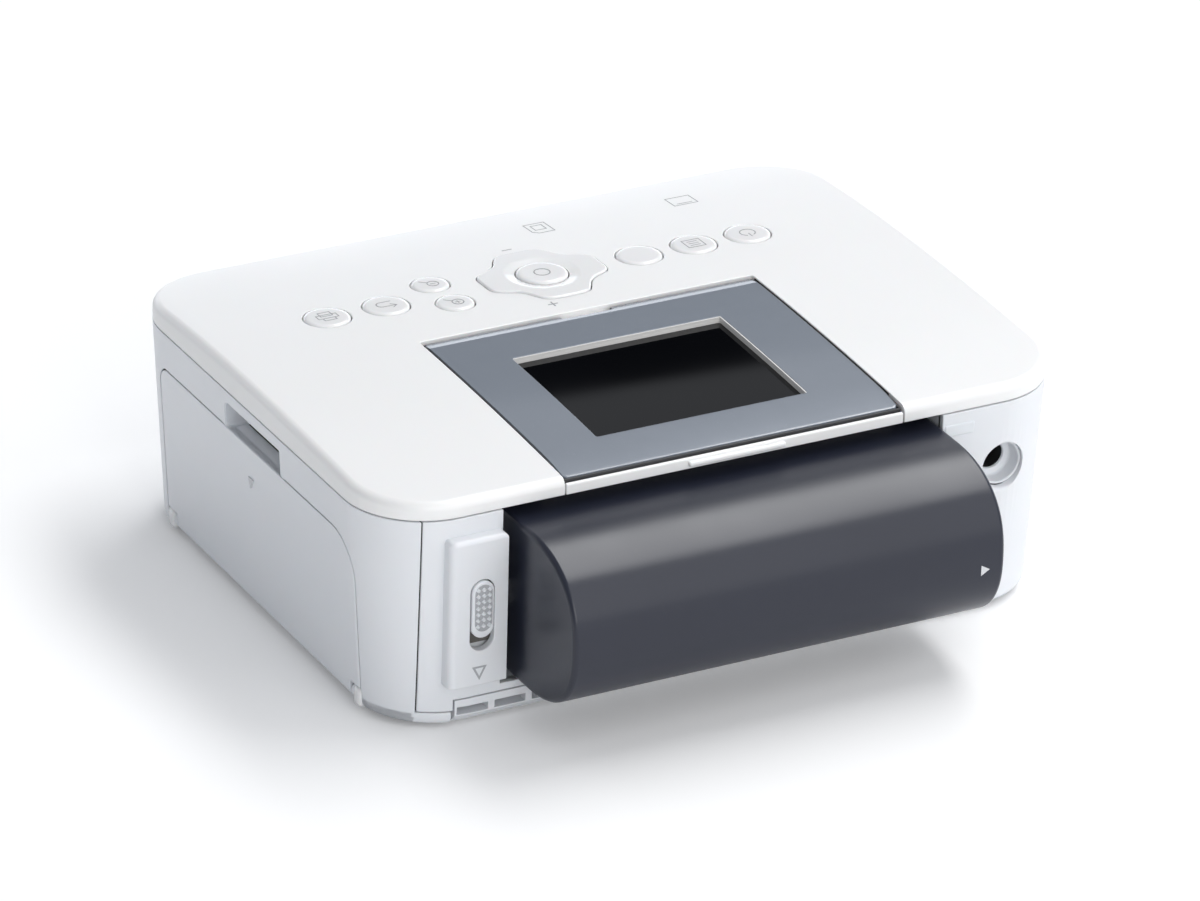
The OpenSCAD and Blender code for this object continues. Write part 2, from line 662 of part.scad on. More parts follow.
module battery_contacts() color(dark) {
  span([-35.7, pack_in - 3.6, 15.3], [-14.3, pack_in - 0.3, 24.7]);
  for (i = [0:3]) span([-32.5 + i * 4.6, pack_in - 0.4, 17], [-30.5 + i * 4.6, pack_in - 0.1, 23]);
}

// Superellipse that rounds the outer side of the pack
function bulge(a, inset) = let (c = cos(a), s = sin(a), e = 2 / 2.4)
  [pack_out + half_d - pack_bulge + (pack_bulge - inset) * pow(abs(c), e),
   pack_mid + (pack_z[1] - pack_mid - inset) * sign(s) * pow(abs(s), e)];
pack_bulge = 24;
pack_bevel = 1.3;

module pack_profile(inset) polygon(concat([for (i = [0:28]) bulge(-90 + 180 * i / 28, inset)],
  [[pack_in, pack_z[1] - inset], [pack_in, pack_z[0] + inset]]));

module battery_pack() color(slate) difference() {
  union() {
    along_x(pack_x[0] + pack_bevel, pack_x[1] - pack_bevel) pack_profile(0);
    hull() {
      along_x(pack_x[0] + pack_bevel, pack_x[0] + pack_bevel + cut) pack_profile(0);
      along_x(pack_x[0], pack_x[0] + cut) pack_profile(pack_bevel);
    }
    hull() {
      along_x(pack_x[1] - pack_bevel - cut, pack_x[1] - pack_bevel) pack_profile(0);
      along_x(pack_x[1] - cut, pack_x[1]) pack_profile(pack_bevel);
    }
  }
  span([pack_x[1] - 2, hook_y[0] - 0.3, hook_z[0] - release_travel - 0.4],
    [pack_x[1] + 1, hook_y[1] + 0.3, hook_z[1] + 0.4]);
}

// ---- base ----

screw_xy = [for (x = [-1, 1]) for (y = [-48, 40]) [x * (half_w - plate_side - 6), y]];
screw_r = 1.4;
head_r = 2.8;
foot_xy = [for (x = [-1, 1]) for (y = [-1, 1]) [x * (half_w - 17), y * (half_d - 15)]];
rib_pitch = 9.4;

module base_pan() color(white) difference() {
  union() {
    intersection() {
      case_form(wall + seam_gap);
      span([-far, -far, base_z], [far, far, floor_top]);
    }
    intersection() {
      case_form(0);
      span([bay_x[0] - 2.6, pack_in - 6, base_z], [latch_x[1] - 3.2, far, shelf_z - 0.3]);
    }
  }
  span([ink_hinge.x - barrel_r - door_gap, ink_door_front - knuckle_w - 3, 0],
    [far, ink_door_rear + knuckle_w + 3, far]);
  span([paper_x - door_half - knuckle_w - 1, -far, 0],
    [paper_x + door_half + knuckle_w + 1, paper_hinge.x + barrel_r + door_gap, far]);
  for (i = [0:floor((pack_x[1] - pack_x[0] + 12) / rib_pitch)])
    span([pack_x[0] + 2.5 + i * rib_pitch, pack_in + 2, 3.6], [pack_x[0] + 10.3 + i * rib_pitch, far, 5.5]);
  for (p = screw_xy) translate([p.x, p.y, 0]) {
    cylinder(r = screw_r + 0.3, h = 10);
    cylinder(r = head_r + 0.2, h = base_z + 1.2);
  }
}

module rubber_feet() color(rubber) for (p = foot_xy) translate([p.x, p.y, 0]) cylinder(r = foot_r, h = base_z);

module case_screws() color(steel) for (p = screw_xy) translate([p.x, p.y, base_z]) {
  translate([0, 0, 0.2]) cylinder(r = head_r, h = 1);
  translate([0, 0, 0.3]) cylinder(r = screw_r, h = floor_top + sheet_t - base_z - 0.3);
}

// ---- chassis and paper path ----

plate_x = half_w - plate_side;
plate_top = board_top - button_board_t - 0.3;
path_out = seam_z - 2.2;          // height of the paper where it leaves the rear slot
paper_t = 0.3;

// Height of the paper over a place along the depth
function path(y) = path_out - path_rise * (half_d - y);

platen = [-8, path(-8) + paper_t / 2 + platen_r];
feed = [33, path(33) - paper_t / 2 - feed_r];
pinch = [33, path(33) + paper_t / 2 + pinch_r];
pickup = [-46, path(-46) + paper_t / 2 + pickup_r];
spool_z = seam_z - 31;
supply = [platen.x - spool_span / 2, spool_z];
take_up = [platen.x + spool_span / 2, spool_z];
axle_r = 2.5;
bush_r = 3.4;
pinch_axle_r = 1.2;
pickup_axle_r = 1.5;
peg_r = 1.5;
head_rest = seam_z - 16.8;
head_lift = 1.6;
peg_z = seam_z - 24;
spool_axle_r = 2.5;

// Gear teeth and centres
feed_teeth = 24;
idler_teeth = 24;
take_up_teeth = 20;
pinion_teeth = 12;
function pitch_r(teeth) = teeth * tooth_m / 2;
idler_to_feed = pitch_r(feed_teeth) + pitch_r(idler_teeth);
idler_to_take_up = pitch_r(take_up_teeth) + pitch_r(idler_teeth);
idler_to_pinion = pitch_r(pinion_teeth) + pitch_r(idler_teeth);
span_ft = norm(take_up - feed);
span_a = (idler_to_feed * idler_to_feed - idler_to_take_up * idler_to_take_up + span_ft * span_ft) / (2 * span_ft);
span_h = sqrt(idler_to_feed * idler_to_feed - span_a * span_a);
unit_ft = (take_up - feed) / span_ft;
idler = feed + span_a * unit_ft + span_h * [-unit_ft.y, unit_ft.x];
pinion_dir = -25;
pinion = idler + idler_to_pinion * [cos(pinion_dir), sin(pinion_dir)];
gear_x = [-plate_x - sheet_t - 2.8 - gear_w, -plate_x - sheet_t - 2.8];

plate_rear = pack_in - 14.3;

module plate_shape() polygon([[-56, floor_top], [plate_rear, floor_top], [plate_rear, plate_top], [-26, plate_top],
  [-26, seam_z - 11.4], [-56, seam_z - 11.4]]);

module chassis() color(steel) difference() {
  union() {
    for (x = [-plate_x - sheet_t, plate_x]) along_x(x, x + sheet_t) plate_shape();
    span([-plate_x - sheet_t, -56, floor_top], [plate_x + sheet_t, plate_rear, floor_top + sheet_t]);
    rod_x(2, gear_x[0] - 0.4, -plate_x - sheet_t + cut, idler);
  }
  for (p = [platen, feed]) rod_x(bush_r + 0.02, -far, far, p);
  rod_x(pinch_axle_r + run_gap, -far, far, pinch);
  rod_x(pickup_axle_r + run_gap, -far, far, pickup);
  // Upright slots for the pegs of the head carrier
  for (x = [-plate_x - 3, plate_x - 3]) span([x, platen.x - peg_r - 0.1, peg_z - peg_r - 0.1],
    [x + 6, platen.x + peg_r + 0.1, peg_z + peg_r + head_lift + 0.3]);
  rod_x(spool_axle_r + run_gap, -far, 0, take_up);
  rod_x(3.1, -far, 0, pinion);
  // The cassette goes through the right plate
  for (p = [supply, take_up]) rod_x(tube_r + 0.5, 0, far, p);
  span([0, supply.x, peg_z + 4.6], [far, take_up.x, platen.y - bush_r - 0.6]);
  for (p = screw_xy) translate([p.x, p.y, 0]) cylinder(r = screw_r + 0.02, h = 10);
}

module bush(x0, p) difference() {
  rod_x(bush_r, x0 - 0.5, x0 + sheet_t + 0.5, p);
  rod_x(axle_r + run_gap, x0 - 1, x0 + sheet_t + 1, p);
}

module shaft_bushes() color(dark) for (x = [-plate_x - sheet_t, plate_x]) for (p = [platen, feed]) bush(x, p);

roll_x = [paper_x - plate_x + 8, paper_x + plate_x - 8];

module platen_roller() color(rubber) {
  rod_x(platen_r, roll_x[0], roll_x[1], platen);
  rod_x(axle_r, -plate_x - sheet_t - 1.5, plate_x + sheet_t + 1.5, platen);
}

module feed_roller() color(steel) {
  rod_x(feed_r, roll_x[0] - 2, roll_x[1] + 2, feed);
  rod_x(axle_r, gear_x[0] - 0.5, plate_x + sheet_t + 1.5, feed);
}

module pinch_roller() color(rubber) {
  rod_x(pinch_r, roll_x[0], roll_x[1], pinch);
  rod_x(pinch_axle_r, -plate_x - sheet_t - 1, plate_x + sheet_t + 1, pinch);
}

module pickup_roller() color(rubber) {
  for (x = [6, 20]) rod_x(pickup_r, x, x + 8, pickup);
  rod_x(pickup_axle_r, -plate_x - sheet_t - 1, plate_x + sheet_t + 1, pickup);
}

module guide_sheet(y0, y1) along_x(-plate_x + 0.3, plate_x - 0.3)
  polygon([[y0, path(y0) - 0.5], [y1, path(y1) - 0.5], [y1, path(y1) - 1.5], [y0, path(y0) - 1.5]]);

module paper_guides() color(shade_white) difference() {
  union() {
    guide_sheet(39, pack_in - 0.3 - bay_wall - 0.3);
    guide_sheet(-58, -24);
  }
  span([4, pickup.x - pickup_r - 1, seam_z - 28], [30, pickup.x + pickup_r + 1, seam_z - 8]);
}

module print_head() color(dark) {
  span([roll_x[0] - 2, platen.x - 5, head_rest - 1.3], [roll_x[1] + 2, platen.x + 5, head_rest - 0.3]);
  span([roll_x[0] - 1, platen.x - 0.6, head_rest - 0.4], [roll_x[1] + 1, platen.x + 0.6, head_rest]);
}

module head_carrier() color(steel) difference() {
  union() {
    span([roll_x[0] - 3, platen.x - 6, head_rest - 10.4], [roll_x[1] + 3, platen.x + 6, head_rest - 1.3]);
    rod_x(peg_r, -plate_x - sheet_t - 1, plate_x + sheet_t + 1, [platen.x, peg_z]);
  }
  for (i = [0:3]) span([-far, platen.x - 4.6 + i * 2.6, peg_z - 9], [far, platen.x - 3.2 + i * 2.6, peg_z - peg_r - 0.4]);
}

// ---- ink cassette ----

tube_wall = 1.3;
tube_left = -plate_x + 2;
bridge_x = [plate_x + 3, plate_x + 18];
supply_roll_r = 8.5;
take_up_roll_r = 6.5;
hub_r = 3;

// Opening in a tube where the ribbon runs out, between two angles
module tube_mouth(p, a0, a1) along_x(tube_left + 2, bridge_x[0] - 2)
  polygon(concat([p], arc(p, tube_r + 4, a0, a1, 8)));

module cassette_shell() color([0.55, 0.57, 0.60]) difference() {
  union() {
    for (p = [supply, take_up]) rod_x(tube_r, tube_left, bridge_x[0] + 1, p);
    span([bridge_x[0], supply.x - tube_r, spool_z - 8], [bridge_x[1], take_up.x + tube_r, spool_z + 8]);
  }
  for (p = [supply, take_up]) {
    rod_x(tube_r - tube_wall, tube_left + 1.2, bridge_x[0], p);
    rod_x(hub_r + run_gap, tube_left - 1, bridge_x[0] + 6, p);
  }
  tube_mouth(supply, 30, 125);
  tube_mouth(take_up, 55, 150);
  // Finger hollow in the end of the bridge
  span([bridge_x[0] + 7, platen.x - 14, spool_z - 5], [bridge_x[1] + 1, platen.x + 14, spool_z + 5]);
}

module spool(p, r) {
  rod_x(hub_r, tube_left - 1.5, bridge_x[0] + 5.6, p);
  rod_x(hub_r + 1, tube_left + 1.6, bridge_x[0] - 0.4, p);
  rod_x(r, roll_x[0], roll_x[1], p);
}

module supply_spool() color([0.20, 0.20, 0.22]) spool(supply, supply_roll_r);
module take_up_spool() color([0.20, 0.20, 0.22]) spool(take_up, take_up_roll_r);

ribbon_t = 0.12;
ribbon_top = path(platen.x) - 0.7;

// Point where a line from q leaves a circle round p, on the side given by s
function tangent_at(p, r, q, s) = let (d = q - p, a = atan2(d.y, d.x) + s * acos(r / norm(d)))
  p + r * [cos(a), sin(a)];

ribbon_bend = 5.6;                // half the width of the flat stretch over the head
ribbon_line = [tangent_at(supply, supply_roll_r + 0.3, [platen.x - ribbon_bend, ribbon_top], 1),
  [platen.x - ribbon_bend, ribbon_top], [platen.x + ribbon_bend, ribbon_top],
  tangent_at(take_up, take_up_roll_r + 0.3, [platen.x + ribbon_bend, ribbon_top], -1)];

module ink_ribbon() color([0.15, 0.13, 0.12, 0.8]) along_x(roll_x[0] + 1, roll_x[1] - 1)
  polygon(concat(ribbon_line, [for (i = [3:-1:0]) ribbon_line[i] + [0, ribbon_t]]));

// ---- drive ----

pressure = 20;
backlash = 0.12;
addendum = 0.9;
dedendum = 1.2;

function inv_at(rb, r) = let (c = acos(min(1, rb / r))) tan(c) * 180 / PI - c;

// Points of one tooth, centred on an angle, from its root up one flank and down the other
function tooth(n, mid) = let (
    rp = n * tooth_m / 2, rb = rp * cos(pressure), ra = rp + addendum * tooth_m, rr = rp - dedendum * tooth_m,
    half = 90 / n - backlash * 90 / (PI * rp) + inv_at(rb, rp), r0 = max(rb, rr + 0.1 * tooth_m),
    flank = [for (k = [0:4]) let (r = r0 + (ra - r0) * k / 4) [r, half - inv_at(rb, r)]])
  concat([[rr, half - inv_at(rb, r0) + 0.4]], flank,
    [for (k = [4:-1:0]) [flank[k][0], -flank[k][1]]], [[rr, -half + inv_at(rb, r0) - 0.4]]);

function gear_outline(n, turn) = [for (t = [0:n - 1]) let (mid = turn + 360 * t / n)
  for (p = flipped(tooth(n, 0))) p[0] * [cos(mid + p[1]), sin(mid + p[1])]];

// Spur gear at a point of Y and Z, turned so that a tooth points along an angle
module gear(n, p, turn, bore) along_x(gear_x[0], gear_x[1]) translate(p) difference() {
  polygon(gear_outline(n, turn));
  circle(r = bore);
}

function heading(a, b) = atan2(b.y - a.y, b.x - a.x);
// A neighbour has a gap where this gear has a tooth: half a tooth further round
function meshed(n_from, turn_from, dir, n) = dir + 180 + 180 / n - (turn_from - dir) * n_from / n;

idler_turn = heading(idler, pinion);

module idler_gear() color(white) gear(idler_teeth, idler, idler_turn, 2 + run_gap);

module feed_gear() color(white)
  gear(feed_teeth, feed, meshed(idler_teeth, idler_turn, heading(idler, feed), feed_teeth), axle_r);

module take_up_gear() color(white) {
  gear(take_up_teeth, take_up, meshed(idler_teeth, idler_turn, heading(idler, take_up), take_up_teeth), 1);
  rod_x(spool_axle_r, gear_x[1] - cut, tube_left - 1.6, take_up);
}

module motor_pinion() color(steel) {
  gear(pinion_teeth, pinion, meshed(idler_teeth, idler_turn, heading(idler, pinion), pinion_teeth), 0.5);
  rod_x(1, gear_x[0], -plate_x + 10, pinion);
}

module drive_motor() color([0.6, 0.6, 0.62]) difference() {
  union() {
    rod_x(motor_r, -plate_x, -plate_x + 26, pinion);
    rod_x(3, -plate_x - sheet_t - 0.5, -plate_x + cut, pinion);
  }
  rod_x(1 + run_gap, -far, -plate_x + 10.5, pinion);
}

// ---- electronics ----

main_board_z = card_z[1];

module main_board() color(board_green) {
  span([15 - half_w, -62, main_board_z], [half_w - 49, -29, main_board_z + board_t]);
  span([14, -52, main_board_z - 1.8], [30, -36, main_board_z]);
}

module card_socket(x, w, slot_h) difference() {
  span([x - w / 2 - 1, -half_d + wall + 0.3, card_z[0]], [x + w / 2 + 1, -30, card_z[1]]);
  span([x - w / 2, -half_d, card_z[0] + 1], [x + w / 2, -34, card_z[0] + 1 + slot_h]);
}

module card_socket_wide() color(dark) card_socket(card_wide[0], card_wide[1] - 0.4, 3.6);
module card_socket_narrow() color(steel) card_socket(card_narrow[0], card_narrow[1] - 0.4, 3);

usb_x = 9 - half_w;

module usb_board() color(board_green) {
  difference() {
    union() {
      span([usb_x, -24, 9], [usb_x + board_t, 18, 33]);
      for (i = [0, 1]) span([usb_x - 6, port_y[i] - port_size[i].x / 2, port_z - port_size[i].y / 2],
        [usb_x + 0.5, port_y[i] + port_size[i].x / 2, port_z + port_size[i].y / 2]);
    }
    for (i = [0, 1]) span([usb_x - 7, port_y[i] - port_size[i].x / 2 + 0.4, port_z - port_size[i].y / 2 + 0.4],
      [usb_x - 0.6, port_y[i] + port_size[i].x / 2 - 0.4, port_z + port_size[i].y / 2 - 0.4]);
  }
}

module dc_jack() color(dark) difference() {
  union() {
    span([jack_xz.x - 6, half_d - 16, jack_xz.y - 6.5], [jack_xz.x + 6, half_d - 5.4, jack_xz.y + 6.5]);
    rod_y(jack_bore_r + 1.3, half_d - 6, half_d - 1.4, jack_xz);
  }
  rod_y(jack_bore_r, half_d - 12, half_d + 1, jack_xz);
}

module power_board() color(board_green) {
  y1 = pack_in - 0.3 - bay_wall - 0.3;
  board_z = seam_z - 23.5;
  rod_z = board_z + board_t;
  span([-28, y1 - 17.7, board_z], [pack_x[1] - 1.5, y1, rod_z]);
  for (x = [0, 12]) translate([x, y1 - 8.7, rod_z]) cylinder(r = 4, h = 8);
  span([26, y1 - 14.7, rod_z], [44, y1 - 2.7, rod_z + 7]);
}

framed() top_cover();
framed() right_cover();
framed() left_cover();
framed() front_cover();
framed() rear_cover();
framed() base_pan();
framed() rubber_feet();
framed() case_screws();
framed() screen_housing();
framed() screen_glass();
framed() lcd_panel();
framed() screen_hinge_pin();
framed() screen_flex();
framed() print_button();
framed() back_button();
framed() edit_button();
framed() menu_button();
framed() power_button();
framed() zoom_out_button();
framed() zoom_in_button();
framed() ok_button();
framed() direction_pad();
framed() pad_rocker_ring();
framed() button_board();
framed() ink_door();
framed() ink_door_pins();
framed() paper_door();
framed() paper_door_pins();
framed() chassis();
framed() shaft_bushes();
framed() print_head();
framed() head_carrier();
framed() platen_roller();
framed() feed_roller();
framed() pinch_roller();
framed() pickup_roller();
framed() paper_guides();
framed() cassette_shell();
framed() supply_spool();
framed() take_up_spool();
framed() ink_ribbon();
framed() drive_motor();
framed() motor_pinion();
framed() idler_gear();
framed() feed_gear();
framed() take_up_gear();
framed() main_board();
framed() card_socket_wide();
framed() card_socket_narrow();
framed() usb_board();
framed() dc_jack();
framed() power_board();
framed() battery_contacts();
framed() battery_pack();
framed() battery_release();
framed() latch_hook();
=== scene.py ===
"""Looks of a compact photo printer, built round its packed construction model."""

import json
import logging
import math
from collections.abc import Callable, Iterable, Sequence
from dataclasses import dataclass, field
from enum import Enum
from functools import cache

import bmesh
import bpy
from mathutils import Matrix, Vector


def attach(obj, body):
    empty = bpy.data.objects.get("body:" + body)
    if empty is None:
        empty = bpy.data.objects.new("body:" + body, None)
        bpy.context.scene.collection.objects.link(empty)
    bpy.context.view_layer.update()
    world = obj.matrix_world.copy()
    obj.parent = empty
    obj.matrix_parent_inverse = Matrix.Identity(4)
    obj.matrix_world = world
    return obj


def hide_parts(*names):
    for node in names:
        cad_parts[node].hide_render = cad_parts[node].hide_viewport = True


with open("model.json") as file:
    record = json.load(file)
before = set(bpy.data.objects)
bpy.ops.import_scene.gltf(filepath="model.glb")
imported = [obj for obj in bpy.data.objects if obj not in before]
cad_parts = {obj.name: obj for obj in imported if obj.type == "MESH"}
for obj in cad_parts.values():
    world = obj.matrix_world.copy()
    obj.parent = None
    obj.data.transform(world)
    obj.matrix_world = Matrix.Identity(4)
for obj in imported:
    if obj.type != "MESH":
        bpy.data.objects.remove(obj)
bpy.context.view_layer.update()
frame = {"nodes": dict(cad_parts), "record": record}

log = logging.getLogger("printer")

MM = 0.001
SHIFT_Y = -15.25

HALF_W = 89.0
HALF_D = 67.5
CASE_H = 59.8
SEAM_Z = 53.0
CORNER_R = 19.0
WALL = 2.2
SEAM_GAP = 0.3
BASE_Z = 1.3
FAR = 120.0
# Height where the bend of the top starts, and over which it grows to its full measure
BEND_Z, BEND_FADE = 54.0, 3.0

Point2 = tuple[float, float]
Point3 = tuple[float, float, float]
Colour = tuple[float, float, float]
EdgeTest = Callable[[bmesh.types.BMEdge], bool]
Socket = bpy.types.NodeSocket


class Body(str, Enum):
    """Bodies of the construction model that a piece can ride on."""

    CASE = "case"
    SCREEN = "screen_unit"
    PAD = "direction_pad"
    OK = "ok_button"
    INK_DOOR = "ink_door"
    PAPER_DOOR = "paper_door"
    RELEASE = "battery_release"
    PRINT = "print_button"
    BACK = "back_button"
    EDIT = "edit_button"
    MENU = "menu_button"
    POWER = "power_button"
    ZOOM_OUT = "zoom_out_button"
    ZOOM_IN = "zoom_in_button"


class Axis(Enum):
    """Direction that a form is drawn along, as its index."""

    X = 0
    Y = 1
    Z = 2


# ---- lines of the case ----


def crown(y: float) -> float:
    """Height of the crowned top over a place along the depth, in mm."""
    if y > -8.0:
        return CASE_H - 2.5 * ((y + 8.0) / 75.5) ** 2
    return CASE_H - 3.0 * ((y + 8.0) / 59.5) ** 2


def cover_drop(y: float) -> float:
    """How far the cover's top lies below the highest line, in mm."""
    return CASE_H - crown(y)


def unit_drop(y: float) -> float:
    """How far the display unit's top lies below the highest line, in mm."""
    tail = 0.9 * ((y - 54.0) / 13.5) ** 2 if y > 54.0 else 0.0
    return CASE_H - crown(y) + tail


def lean(z: float) -> float:
    """How far a side wall has leaned in at a height, in mm."""
    return 0.062 * max(0.0, SEAM_Z - z)


def arc(centre: Point2, radius: float, start: float, end: float, steps: int) -> list[Point2]:
    """Points along an arc.

    Args:
        centre: Middle of the arc.
        radius: Radius in mm.
        start: First angle in degrees.
        end: Last angle in degrees.
        steps: Number of stretches.

    Returns:
        The points from the first angle to the last.
    """
    turns = (math.radians(start + (end - start) * i / steps) for i in range(steps + 1))
    return [(centre[0] + radius * math.cos(t), centre[1] + radius * math.sin(t)) for t in turns]


def upright(edge: bmesh.types.BMEdge) -> bool:
    """Whether an edge stands straight up."""
    a, b = (v.co for v in edge.verts)
    return abs(a.z - b.z) > 0.95 * (a - b).length


def sharp(edge: bmesh.types.BMEdge) -> bool:
    """Whether the two faces at an edge meet at a clear angle."""
    return len(edge.link_faces) == 2 and edge.calc_face_angle(0.0) > math.radians(32)


def level(axis: Axis, value: float) -> EdgeTest:
    """Test for sharp edges that lie at one place along an axis."""
    return lambda e: sharp(e) and all(abs(v.co[axis.value] - value) < 0.03 for v in e.verts)


def running(axis: Axis) -> EdgeTest:
    """Test for edges that run along an axis for over 1 mm."""
    return lambda e: abs(e.verts[0].co[axis.value] - e.verts[1].co[axis.value]) > 1


def put_down(name: str, data: bpy.types.ID) -> bpy.types.Object:
    """Makes an object of some data and puts it in the scene."""
    made = bpy.data.objects.new(name, data)
    bpy.context.scene.collection.objects.link(made)
    return made


# ---- forms ----


class Form:
    """A mesh under construction, in mm from the middle of the case."""

    def __init__(self) -> None:
        """Starts empty."""
        self.mesh = bmesh.new()

    @classmethod
    def box(cls, low: Point3, high: Point3) -> "Form":
        """Box between its two corners.

        Args:
            low: Lowest corner.
            high: Highest corner.

        Returns:
            The new form.
        """
        form = cls()
        bmesh.ops.create_cube(form.mesh, size=1.0)
        a, b = Vector(low), Vector(high)
        form.transform(Matrix.Translation((a + b) / 2) @ Matrix.Diagonal((*(b - a), 1.0)))
        return form

    @classmethod
    def rod(cls, radius: float, low: float, high: float, centre: Point2, axis: Axis, sides: int = 64,
            tip: float | None = None) -> "Form":
        """Cylinder or cone along an axis.

        Args:
            radius: Radius at the low end.
            low: Start along the axis.
            high: End along the axis.
            centre: Place across the axis.
            axis: Direction of the rod.
            sides: Number of sides.
            tip: Radius at the high end, if it differs.

        Returns:
            The new form.
        """
        form = cls()
        bmesh.ops.create_cone(form.mesh, cap_ends=True, cap_tris=False, segments=sides, radius1=radius,
                              radius2=radius if tip is None else tip, depth=high - low)
        form.transform(Matrix.Translation((0, 0, (low + high) / 2)))
        return form.stand(centre, axis)

    @classmethod
    def prism(cls, outline: Sequence[Point2], axis: Axis, low: float, high: float) -> "Form":
        """Outline drawn out along an axis.

        Args:
            outline: Points across the axis, in the order of the other two axes.
            axis: Direction of the prism.
            low: Start along the axis.
            high: End along the axis.

        Returns:
            The new form.
        """
        form = cls()
        places = [list(p) for p in outline]
        for p in places:
            p.insert(axis.value, low)
        face = form.mesh.faces.new([form.mesh.verts.new(p) for p in places])
        grown = bmesh.ops.extrude_face_region(form.mesh, geom=[face])
        moved = [v for v in grown["geom"] if isinstance(v, bmesh.types.BMVert)]
        way = Vector((0, 0, 0))
        way[axis.value] = high - low
        bmesh.ops.translate(form.mesh, vec=way, verts=moved)
        return form.outward()

    @classmethod
    def lathe(cls, profile: Sequence[Point2], centre: Point2, axis: Axis, sides: int = 72) -> "Form":
        """Closed profile turned about an axis.

        Args:
            profile: Radius and place along the axis of each point. Its ends lie on the axis or meet.
            centre: Place of the axis.
            axis: Direction of the axis.
            sides: Number of steps of the turn.

        Returns:
            The new form.
        """
        form = cls()
        verts = [form.mesh.verts.new((r, 0, h)) for r, h in profile]
        edges = [form.mesh.edges.new(pair) for pair in zip(verts, verts[1:])]
        bmesh.ops.spin(form.mesh, geom=[*verts, *edges], cent=(0, 0, 0), axis=(0, 0, 1), angle=math.tau,
                       steps=sides, use_merge=True)
        bmesh.ops.remove_doubles(form.mesh, verts=form.mesh.verts, dist=1e-4)
        return form.stand(centre, axis).outward()

    @classmethod
    def obround(cls, width: float, height: float, centre: Point2, low: float, high: float) -> "Form":
        """Slot shape that stands upright and is drawn out along the depth.

        Args:
            width: Width across.
            height: Height over both round ends.
            centre: Middle, along the width and up.
            low: Start along the depth.
            high: End along the depth.

        Returns:
            The new form.
        """
        r, up = width / 2, (height - width) / 2
        x, z = centre
        points = arc((x, z + up), r, 0, 180, 20) + arc((x, z - up), r, 180, 360, 20)
        return cls.prism(points, Axis.Y, low, high)

    @classmethod
    def node(cls, name: str) -> "Form":
        """Copies a node of the construction model and merges its loose triangles.

        Args:
            name: Name of the node.

        Returns:
            The form, in mm.
        """
        form = cls()
        form.mesh.from_mesh(frame["nodes"][name].data)
        form.transform(Matrix.Diagonal((1 / MM, 1 / MM, 1 / MM, 1)))
        form.transform(Matrix.Translation((0, -SHIFT_Y, 0)))
        bmesh.ops.remove_doubles(form.mesh, verts=form.mesh.verts, dist=0.002)
        bmesh.ops.dissolve_limit(form.mesh, angle_limit=math.radians(0.4), verts=form.mesh.verts,
                                 edges=form.mesh.edges)
        return form.outward()

    def transform(self, matrix: Matrix) -> "Form":
        """Applies a matrix to every point."""
        bmesh.ops.transform(self.mesh, matrix=matrix, verts=self.mesh.verts)
        return self

    def stand(self, centre: Point2, axis: Axis) -> "Form":
        """Turns a form that was made along Z to an axis and moves it across.

        Args:
            centre: Place across the axis.
            axis: Direction to turn it to.

        Returns:
            The same form.
        """
        turn = {Axis.X: Matrix.Rotation(math.pi / 2, 4, "Y"), Axis.Y: Matrix.Rotation(-math.pi / 2, 4, "X"),
                Axis.Z: Matrix.Identity(4)}[axis]
        place = list(centre)
        place.insert(axis.value, 0.0)
        return self.transform(Matrix.Translation(place) @ turn)

    def copy(self) -> "Form":
        """Second form with the same mesh."""
        other = Form()
        other.mesh = self.mesh.copy()
        return other

    def outward(self) -> "Form":
        """Turns every face outward."""
        bmesh.ops.recalc_face_normals(self.mesh, faces=self.mesh.faces)
        return self

    def add(self, *others: "Form") -> "Form":
        """Joins other forms to this one without cutting them together."""
        for other in others:
            held = bpy.data.meshes.new("held")
            other.mesh.to_mesh(held)
            self.mesh.from_mesh(held)
            bpy.data.meshes.remove(held)
        return self

    def carve(self, *others: "Form") -> "Form":
        """Takes other forms out of this one."""
        return self._cut(others, "DIFFERENCE")

    def keep(self, *others: "Form") -> "Form":
        """Keeps what lies inside the other forms."""
        return self._cut(others, "INTERSECT")

    def _cut(self, others: Iterable["Form"], operation: str) -> "Form":
        """Applies Boolean modifiers in turn.

        Args:
            others: Forms to cut with.
            operation: Name of the Boolean operation.

        Returns:
            The same form.
        """
        target = self._held("target")
        tools = [other._held("tool") for other in others]
        for tool in tools:
            step = target.modifiers.new("cut", "BOOLEAN")
            step.operation, step.solver, step.object = operation, "EXACT", tool
        graph = bpy.context.evaluated_depsgraph_get()
        mesh = bpy.data.meshes.new_from_object(target.evaluated_get(graph))
        self.mesh.clear()
        self.mesh.from_mesh(mesh)
        bpy.data.meshes.remove(mesh)
        for held in (target, *tools):
            data = held.data
            bpy.data.objects.remove(held)
            bpy.data.meshes.remove(data)
        bmesh.ops.remove_doubles(self.mesh, verts=self.mesh.verts, dist=0.001)
        return self

    def _held(self, name: str) -> bpy.types.Object:
        """Puts the form into a passing object."""
        data = bpy.data.meshes.new(name)
        self.mesh.to_mesh(data)
        return put_down(name, data)

    def round(self, width: float, segments: int, where: EdgeTest = sharp, clamp: bool = False) -> "Form":
        """Rounds the edges that pass a test.

        Args:
            width: Radius of the rounding.
            segments: Steps across it.
            where: Test for an edge.
            clamp: Whether a rounding stops at its neighbours.

        Returns:
            The same form.
        """
        chosen = [e for e in self.mesh.edges if where(e)]
        if chosen:
            bmesh.ops.bevel(self.mesh, geom=chosen, offset=width, offset_type="OFFSET", segments=segments,
                            profile=0.5, affect="EDGES", clamp_overlap=clamp, material=-1, loop_slide=True)
        return self

